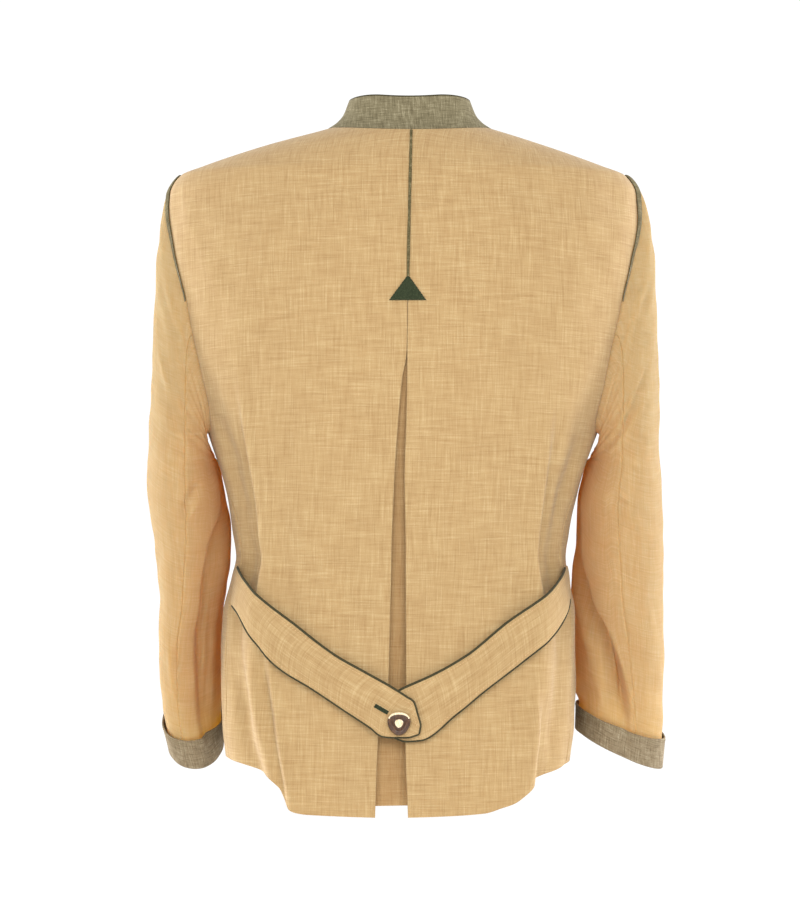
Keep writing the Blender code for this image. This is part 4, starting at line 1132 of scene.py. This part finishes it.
# Piped buttonhole beside the belt button: its ends and half width
WELT_START = (-31 * MM, -583.5 * MM)
WELT_END = (-18 * MM, -591 * MM)
WELT_HALF_WIDTH = 2 * MM
WELT_STATION = 0.84
WELT_ROWS, WELT_ACROSS = 40, 17
WELT_OFF, WELT_INNER_OFF, WELT_HEIGHT, WELT_ROUNDING = 0.5 * MM, 0.3 * MM, 0.9 * MM, 0.6


def belt_welt(name, finish):
    """A narrow green strip on the belt's left half, leading to its button, parted along its middle."""
    start, end = np.array(WELT_START), np.array(WELT_END)
    along = unit(end - start)
    share = np.linspace(-1, 1, WELT_ACROSS)
    aside = np.array([-along[1], along[0]]) * WELT_HALF_WIDTH
    way = np.linspace(0, 1, WELT_ROWS)[:, None, None]
    flat = start + (end - start) * way + aside * share[None, :, None]
    top = belt_top(WELT_STATION)
    lift = top + WELT_OFF + WELT_HEIGHT * np.abs(np.sin(np.pi * share)) ** WELT_ROUNDING
    x, z = flat[..., 0], flat[..., 1]
    outer, inner = (on_back(x, z, rise, bridged=True) for rise in (lift, top + WELT_INNER_OFF))
    made = shell(name, outer, inner, finish)
    stands_for(name)


# Sewing thread
STITCH_LONG, STITCH_GAP, STITCH_RADIUS = 2.4 * MM, 1.0 * MM, 0.22 * MM
STITCH_SIDES = 5
STITCH_ARCH, STITCH_DIP = 0.4 * MM, 0.1 * MM
STITCH_SIZES = np.array([0.35, 0.9, 1, 0.9, 0.35])
BELT_STITCH_INSET, BELT_STITCH_ENDS = 3.4 * MM, 6


def stitches(name, path, off, finish):
    """A row of stitches along a path, each a small arched thread that dips into the cloth at both ends."""
    length = arc(path, 0)
    starts = np.arange(0, length[-1] - STITCH_LONG, STITCH_LONG + STITCH_GAP)
    t = np.linspace(0, 1, len(STITCH_SIZES))
    verts, faces = [], []
    angles = np.linspace(0, 2 * np.pi, STITCH_SIDES, endpoint=False)
    for begin in starts:
        at = begin + t * STITCH_LONG
        line, up = (along_line(at, length, grid) for grid in (path, off))
        up = unit(up)
        line = line + up * (np.sin(np.pi * t)[:, None] * STITCH_ARCH - STITCH_DIP)
        aside = unit(np.cross(line[-1] - line[0], up[2]))
        size = STITCH_RADIUS * STITCH_SIZES[:, None, None]
        turned = np.cos(angles)[None, :, None] * aside + np.sin(angles)[None, :, None] * up[:, None]
        faces += ring_faces(len(t), STITCH_SIDES, len(verts) * len(t) * STITCH_SIDES)
        verts.append((line[:, None] + size * turned).reshape(-1, 3))
    made = finished(name, np.concatenate(verts), faces, finish)


def belt_stitches(name, table, finish):
    x, z, out = belt_outline(table, BELT_STITCH_INSET)
    shown = slice(BELT_STITCH_ENDS, -BELT_STITCH_ENDS)
    place = on_back(x, z, out + BELT_THICK + BELT_CROWN / 2, bridged=True)
    stitches(name, place[shown], body_normal(angle_at(x, z), z)[shown], finish)


def cuff_stitches(name, side, finish):
    base, normals, share, turn = cuff_grid(side)
    row = int(np.argmin(np.abs(share[:, 0] - CUFF_STITCH_SHARE)))
    rise = CUFF_THICK + cuff_off(turn[0], share[row], (1 - CUFF_STITCH_SHARE) ** 2)
    stitches(name, base[row] + normals[row] * rise[:, None], normals[row], finish)


# Finishes
def linear(red, green, blue):
    """A colour given in the usual 0 to 255 as the linear values that shaders take."""
    share = np.array([red, green, blue]) / 255
    found = np.where(share <= 0.04045, share / 12.92, ((share + 0.055) / 1.055) ** 2.4)
    return (*[float(c) for c in found], 1)


THREADS_APART = 500.0


class Finish:
    """A material under construction, with short ways to add and join its nodes."""

    def __init__(self, name, roughness, sheen=0.0, coat=0.0, specular=0.3):
        self.material = bpy.data.materials.new(name)
        self.material.use_nodes = True
        self.tree = self.material.node_tree
        self.shader = self.tree.nodes["Principled BSDF"]
        self.shader.inputs["Roughness"].default_value = roughness
        self.shader.inputs["Sheen Weight"].default_value = sheen
        self.shader.inputs["Sheen Roughness"].default_value = 0.6
        self.shader.inputs["Coat Weight"].default_value = coat
        self.shader.inputs["Specular IOR Level"].default_value = specular

    def node(self, kind, **settings):
        made = self.tree.nodes.new(kind)
        for key, value in settings.items():
            setattr(made, key, value)
        return made

    def join(self, out, into):
        self.tree.links.new(out, into)

    def noise(self, source, size, detail, roughness=0.55):
        """Noise whose patches have this size in metres, across and along."""
        mapping = self.node("ShaderNodeMapping")
        mapping.inputs["Scale"].default_value = tuple(1 / s for s in size)
        self.join(source, mapping.inputs["Vector"])
        noise = self.node("ShaderNodeTexNoise")
        noise.inputs["Scale"].default_value = 1
        noise.inputs["Detail"].default_value = detail
        noise.inputs["Roughness"].default_value = roughness
        self.join(mapping.outputs["Vector"], noise.inputs["Vector"])
        return noise.outputs[0]

    def math(self, operation, first, second=0.0):
        made = self.node("ShaderNodeMath", operation=operation)
        for socket, value in zip(made.inputs, (first, second)):
            if isinstance(value, (int, float)):
                socket.default_value = value
            else:
                self.join(value, socket)
        return made.outputs[0]

    def threads(self, source, axis, yarn, slub):
        """Tone of the threads side by side on one axis, each of a yarn's width, with slubs of its own."""
        parted = self.node("ShaderNodeSeparateXYZ")
        self.join(source, parted.inputs[0])
        across, along = parted.outputs[axis], parted.outputs[1 - axis]
        count = self.math("FLOOR", self.math("DIVIDE", across, yarn))
        own = self.node("ShaderNodeTexWhiteNoise", noise_dimensions="1D")
        self.join(self.math("ADD", count, axis * THREADS_APART), own.inputs["W"])
        moved = self.math("MULTIPLY", own.outputs["Value"], THREADS_APART)
        noise = self.node("ShaderNodeTexNoise", noise_dimensions="1D")
        noise.inputs["Scale"].default_value = 1
        noise.inputs["Detail"].default_value = 3
        self.join(self.math("ADD", self.math("DIVIDE", along, slub), moved), noise.inputs["W"])
        return noise.outputs[0]

    def ramp(self, factor, *stops):
        """Colours along a factor, each stop a place and a colour."""
        made = self.node("ShaderNodeValToRGB")
        elements = made.color_ramp.elements
        while len(elements) < len(stops):
            elements.new(0.5)
        for element, (place, colour) in zip(elements, stops):
            element.position = place
            element.color = colour
        self.join(factor, made.inputs["Fac"])
        return made.outputs["Color"]

    def bump(self, height, distance, strength):
        made = self.node("ShaderNodeBump")
        made.inputs["Distance"].default_value = distance
        made.inputs["Strength"].default_value = strength
        self.join(height, made.inputs["Height"])
        self.join(made.outputs["Normal"], self.shader.inputs["Normal"])
        return made.outputs["Normal"]


def woven(name, stops, yarn, slub, flecks, glow=None, sheen=0.1):
    """Woven cloth: uneven warp and weft with a share of flecks. Some light may pass through the cloth."""
    finish = Finish(name, 0.9, sheen=sheen, specular=0.15)
    weave = finish.node("ShaderNodeUVMap", uv_map="weave").outputs["UV"]
    warp, weft = (finish.threads(weave, axis, yarn, slub) for axis in (0, 1))
    fleck = finish.noise(weave, (yarn * 1.5, yarn * 1.5, 1), 2)
    threads = finish.math("MULTIPLY", finish.math("ADD", warp, weft), (1 - flecks) / 2)
    look = finish.math("ADD", threads, finish.math("MULTIPLY", fleck, flecks))
    colour = finish.ramp(look, *stops)
    finish.join(colour, finish.shader.inputs["Base Color"])
    normal = finish.bump(look, 0.0006, 0.5)
    if glow:
        passing = finish.node("ShaderNodeBsdfTranslucent")
        passing.inputs["Color"].default_value = glow[1]
        finish.join(normal, passing.inputs["Normal"])
        mix = finish.node("ShaderNodeMixShader")
        mix.inputs["Fac"].default_value = glow[0]
        finish.join(finish.shader.outputs["BSDF"], mix.inputs[1])
        finish.join(passing.outputs["BSDF"], mix.inputs[2])
        finish.join(mix.outputs["Shader"], finish.tree.nodes["Material Output"].inputs["Surface"])
    return finish.material


def mottled(finish, stops, size, uneven, deep, strength):
    """Colours and relief of fibres or grain, whose size is in metres."""
    place = finish.node("ShaderNodeTexCoord").outputs["Object"]
    grain = finish.noise(place, size, 4, uneven)
    finish.join(finish.ramp(grain, *stops), finish.shader.inputs["Base Color"])
    finish.bump(grain, deep, strength)
    return finish.material


def felt(name, stops):
    """Matted felt: soft fibres with no weave."""
    finish = Finish(name, 0.95, sheen=0.05, specular=0.1)
    return mottled(finish, stops, (0.0011, 0.0011, 0.0011), 0.7, 0.0006, 0.8)


def horn(name, stops, roughness):
    """Polished horn, streaked along its grain."""
    finish = Finish(name, roughness, coat=0.1, specular=0.3)
    return mottled(finish, stops, (0.0012, 0.004, 0.005), 0.55, 0.0002, 0.35)


def shades(*rows):
    """Stops of a ramp, each from a place and a colour in the usual 0 to 255."""
    return [(place, linear(*colour)) for place, *colour in rows]


LINEN_STOPS = shades(
    (0.34, 161, 134, 92), (0.45, 173, 147, 104), (0.54, 181, 157, 113), (0.68, 195, 174, 131))
OLIVE_STOPS = shades((0.34, 78, 71, 51), (0.45, 96, 88, 66), (0.54, 108, 100, 77), (0.68, 137, 129, 104))
TRIM_STOPS = shades((0.34, 56, 50, 30), (0.5, 80, 72, 46), (0.66, 112, 102, 74))
CUFF_STOPS = shades((0.34, 87, 75, 56), (0.45, 106, 92, 71), (0.54, 118, 105, 83), (0.68, 141, 130, 108))
GREEN_STOPS = shades((0.3, 25, 30, 17), (0.5, 37, 44, 27), (0.7, 53, 60, 40))
PIPING_STOPS = shades((0.3, 40, 37, 22), (0.6, 60, 56, 36), (0.8, 78, 73, 50))
THREAD_STOPS = shades((0.3, 176, 140, 96), (0.6, 204, 170, 124))
OLIVE_THREAD_STOPS = shades((0.3, 104, 92, 68), (0.6, 132, 120, 92))
HORN_PALE_STOPS = shades((0.3, 196, 172, 134), (0.5, 226, 208, 174), (0.7, 240, 228, 204))
HORN_DARK_STOPS = shades((0.3, 42, 26, 16), (0.5, 62, 39, 24), (0.7, 92, 62, 40))
HORN_FLOWER_STOPS = shades((0.3, 188, 164, 128), (0.6, 222, 204, 172))
GLOW = linear(250, 209, 86)
# The pleat insert's tone is darker and more orange than the body's: painted shade for the recess behind the
# pleat
BODY_TONE, PLEAT_PAINTED_SHADE_TONE, SLEEVE_TONE = (0.75, 0.695, 0.65), (0.66, 0.56, 0.49), (0.87, 1.03, 1.15)

# Yarn width and slub length in metres, and the share of flecks
LINEN_WEAVE, OLIVE_WEAVE, TRIM_WEAVE = (0.0009, 0.045, 0.16), (0.0008, 0.02, 0.2), (0.0008, 0.008, 0.2)

# Share of the light that passes through the backed cloth and the single cloth
BACKED_GLOW, SINGLE_GLOW = (0.1, GLOW), (0.5, GLOW)


def toned(stops, tone):
    """The same colours, with a share of their red, green and blue."""
    return [(place, (*[c * share for c, share in zip(colour, tone)], 1)) for place, colour in stops]


def dress():
    """Makes every piece in its finish. The body's cloth is backed, so less light passes through it."""
    linen = woven("linen_cloth", toned(LINEN_STOPS, BODY_TONE), *LINEN_WEAVE, BACKED_GLOW)
    # The pleat insert takes a darker copy of the body's linen, painted shade for its recess
    pleat_linen_painted_shade = woven("linen_pleat_painted_shade", toned(LINEN_STOPS, PLEAT_PAINTED_SHADE_TONE), *LINEN_WEAVE, BACKED_GLOW)
    sleeve_linen = woven("linen_sleeve", toned(LINEN_STOPS, SLEEVE_TONE), *LINEN_WEAVE, SINGLE_GLOW)
    olive = woven("olive_cloth", OLIVE_STOPS, *OLIVE_WEAVE, sheen=0.0)
    olive_trim = woven("olive_trim", TRIM_STOPS, *TRIM_WEAVE, sheen=0.0)
    olive_cuff = woven("olive_cuff", CUFF_STOPS, *OLIVE_WEAVE, sheen=0.0)
    green = felt("green_felt", GREEN_STOPS)
    piping = felt("green_piping", PIPING_STOPS)
    thread = felt("thread", THREAD_STOPS)
    olive_thread = felt("olive_thread", OLIVE_THREAD_STOPS)
    buttons = [
        horn("horn_rim", HORN_PALE_STOPS, 0.3),
        horn("horn_dark", HORN_DARK_STOPS, 0.32),
        horn("horn_flower", HORN_FLOWER_STOPS, 0.4),
    ]
    for side, name in SIDES.items():
        body_panel(f"back_{name}", False, side, linen)
        body_panel(f"front_{name}", True, side, linen)
        sleeve_panels(f"sleeve_{name}", side, sleeve_linen)
        cuff(f"cuff_{name}", side, olive_cuff)
        cuff_stitches(f"cuff_stitches_{name}", side, olive_thread)
        sleeve_inset(f"sleeve_inset_{name}", side, olive, piping)
        table = BELT_LEFT if side == LEFT else BELT_RIGHT
        belt(f"belt_{name}", table, linen)
        belt_piping(f"belt_piping_{name}", table, piping)
        belt_stitches(f"belt_stitches_{name}", table, thread)
    collar("collar", olive)
    collar_piping("collar_piping", piping)
    pleat_insert("pleat_insert", pleat_linen_painted_shade)
    centre_strip("centre_strip", olive_trim)
    triangle("triangle", green)
    belt_welt("belt_buttonhole", green)
    belt_button("belt_button", buttons)
    front_buttons("front_button", buttons)


# Studio
CAMERA_PLACE = (-0.006, -2.73, -0.335)
CAMERA_LENS = 102.4
FLOOR_Z, FLOOR_HALF = -1.45, 6.0
WORLD_STRENGTH = 1.06

# Lights on both sides, their place on the wearer's right and their watts
LIGHTS = (("key", (0.9, -2.7, 0.7), 46), ("side", (2.0, 0.9, -0.2), 88))
LIGHT_TARGET, LIGHT_SIZE = (0, 0, -0.35), 1.4


def area_light(name, place, watts):
    light = bpy.data.lights.new(name, "AREA")
    light.shape = "RECTANGLE"
    light.size, light.size_y = LIGHT_SIZE, LIGHT_SIZE
    light.energy = watts
    made = bpy.data.objects.new(name, light)
    made.location = place
    way = np.array(place) - np.array(LIGHT_TARGET)
    flat = math.hypot(way[0], way[1])
    made.rotation_euler = (math.atan2(flat, way[2]), 0, math.atan2(way[0], -way[1]))
    bpy.context.scene.collection.objects.link(made)


def studio():
    """A white studio, lit softly from both sides and through the cloth from behind it, and the camera."""
    scene = bpy.context.scene
    scene.view_settings.view_transform = "Standard"
    world = bpy.data.worlds.new("studio")
    world.use_nodes = True
    background = world.node_tree.nodes["Background"]
    background.inputs["Color"].default_value = (1, 1, 1, 1)
    background.inputs["Strength"].default_value = WORLD_STRENGTH
    scene.world = world
    camera = bpy.data.objects.new("camera", bpy.data.cameras.new("camera"))
    camera.data.lens = CAMERA_LENS
    camera.data.clip_end = 50
    camera.location = CAMERA_PLACE
    camera.rotation_euler = (math.pi / 2, 0, 0)
    scene.collection.objects.link(camera)
    scene.camera = camera
    for side in SIDES:
        for name, (x, y, z), watts in LIGHTS:
            area_light(name, (side * x, y, z), watts)
    paint = Finish("floor", 0.8)
    place = paint.node("ShaderNodeTexCoord").outputs["Object"]
    tone = paint.noise(place, (0.9, 0.9, 0.9), 2)
    colour = paint.ramp(tone, *shades((0.3, 246, 246, 246), (0.7, 250, 250, 250)))
    paint.join(colour, paint.shader.inputs["Base Color"])
    corners = ((-1, -1), (1, -1), (1, 1), (-1, 1))
    mesh = bpy.data.meshes.new("floor")
    mesh.from_pydata([(x * FLOOR_HALF, y * FLOOR_HALF, FLOOR_Z) for x, y in corners], [], [(0, 1, 2, 3)])
    mesh.materials.append(paint.material)
    floor = bpy.data.objects.new("floor", mesh)
    scene.collection.objects.link(floor)


studio()
dress()
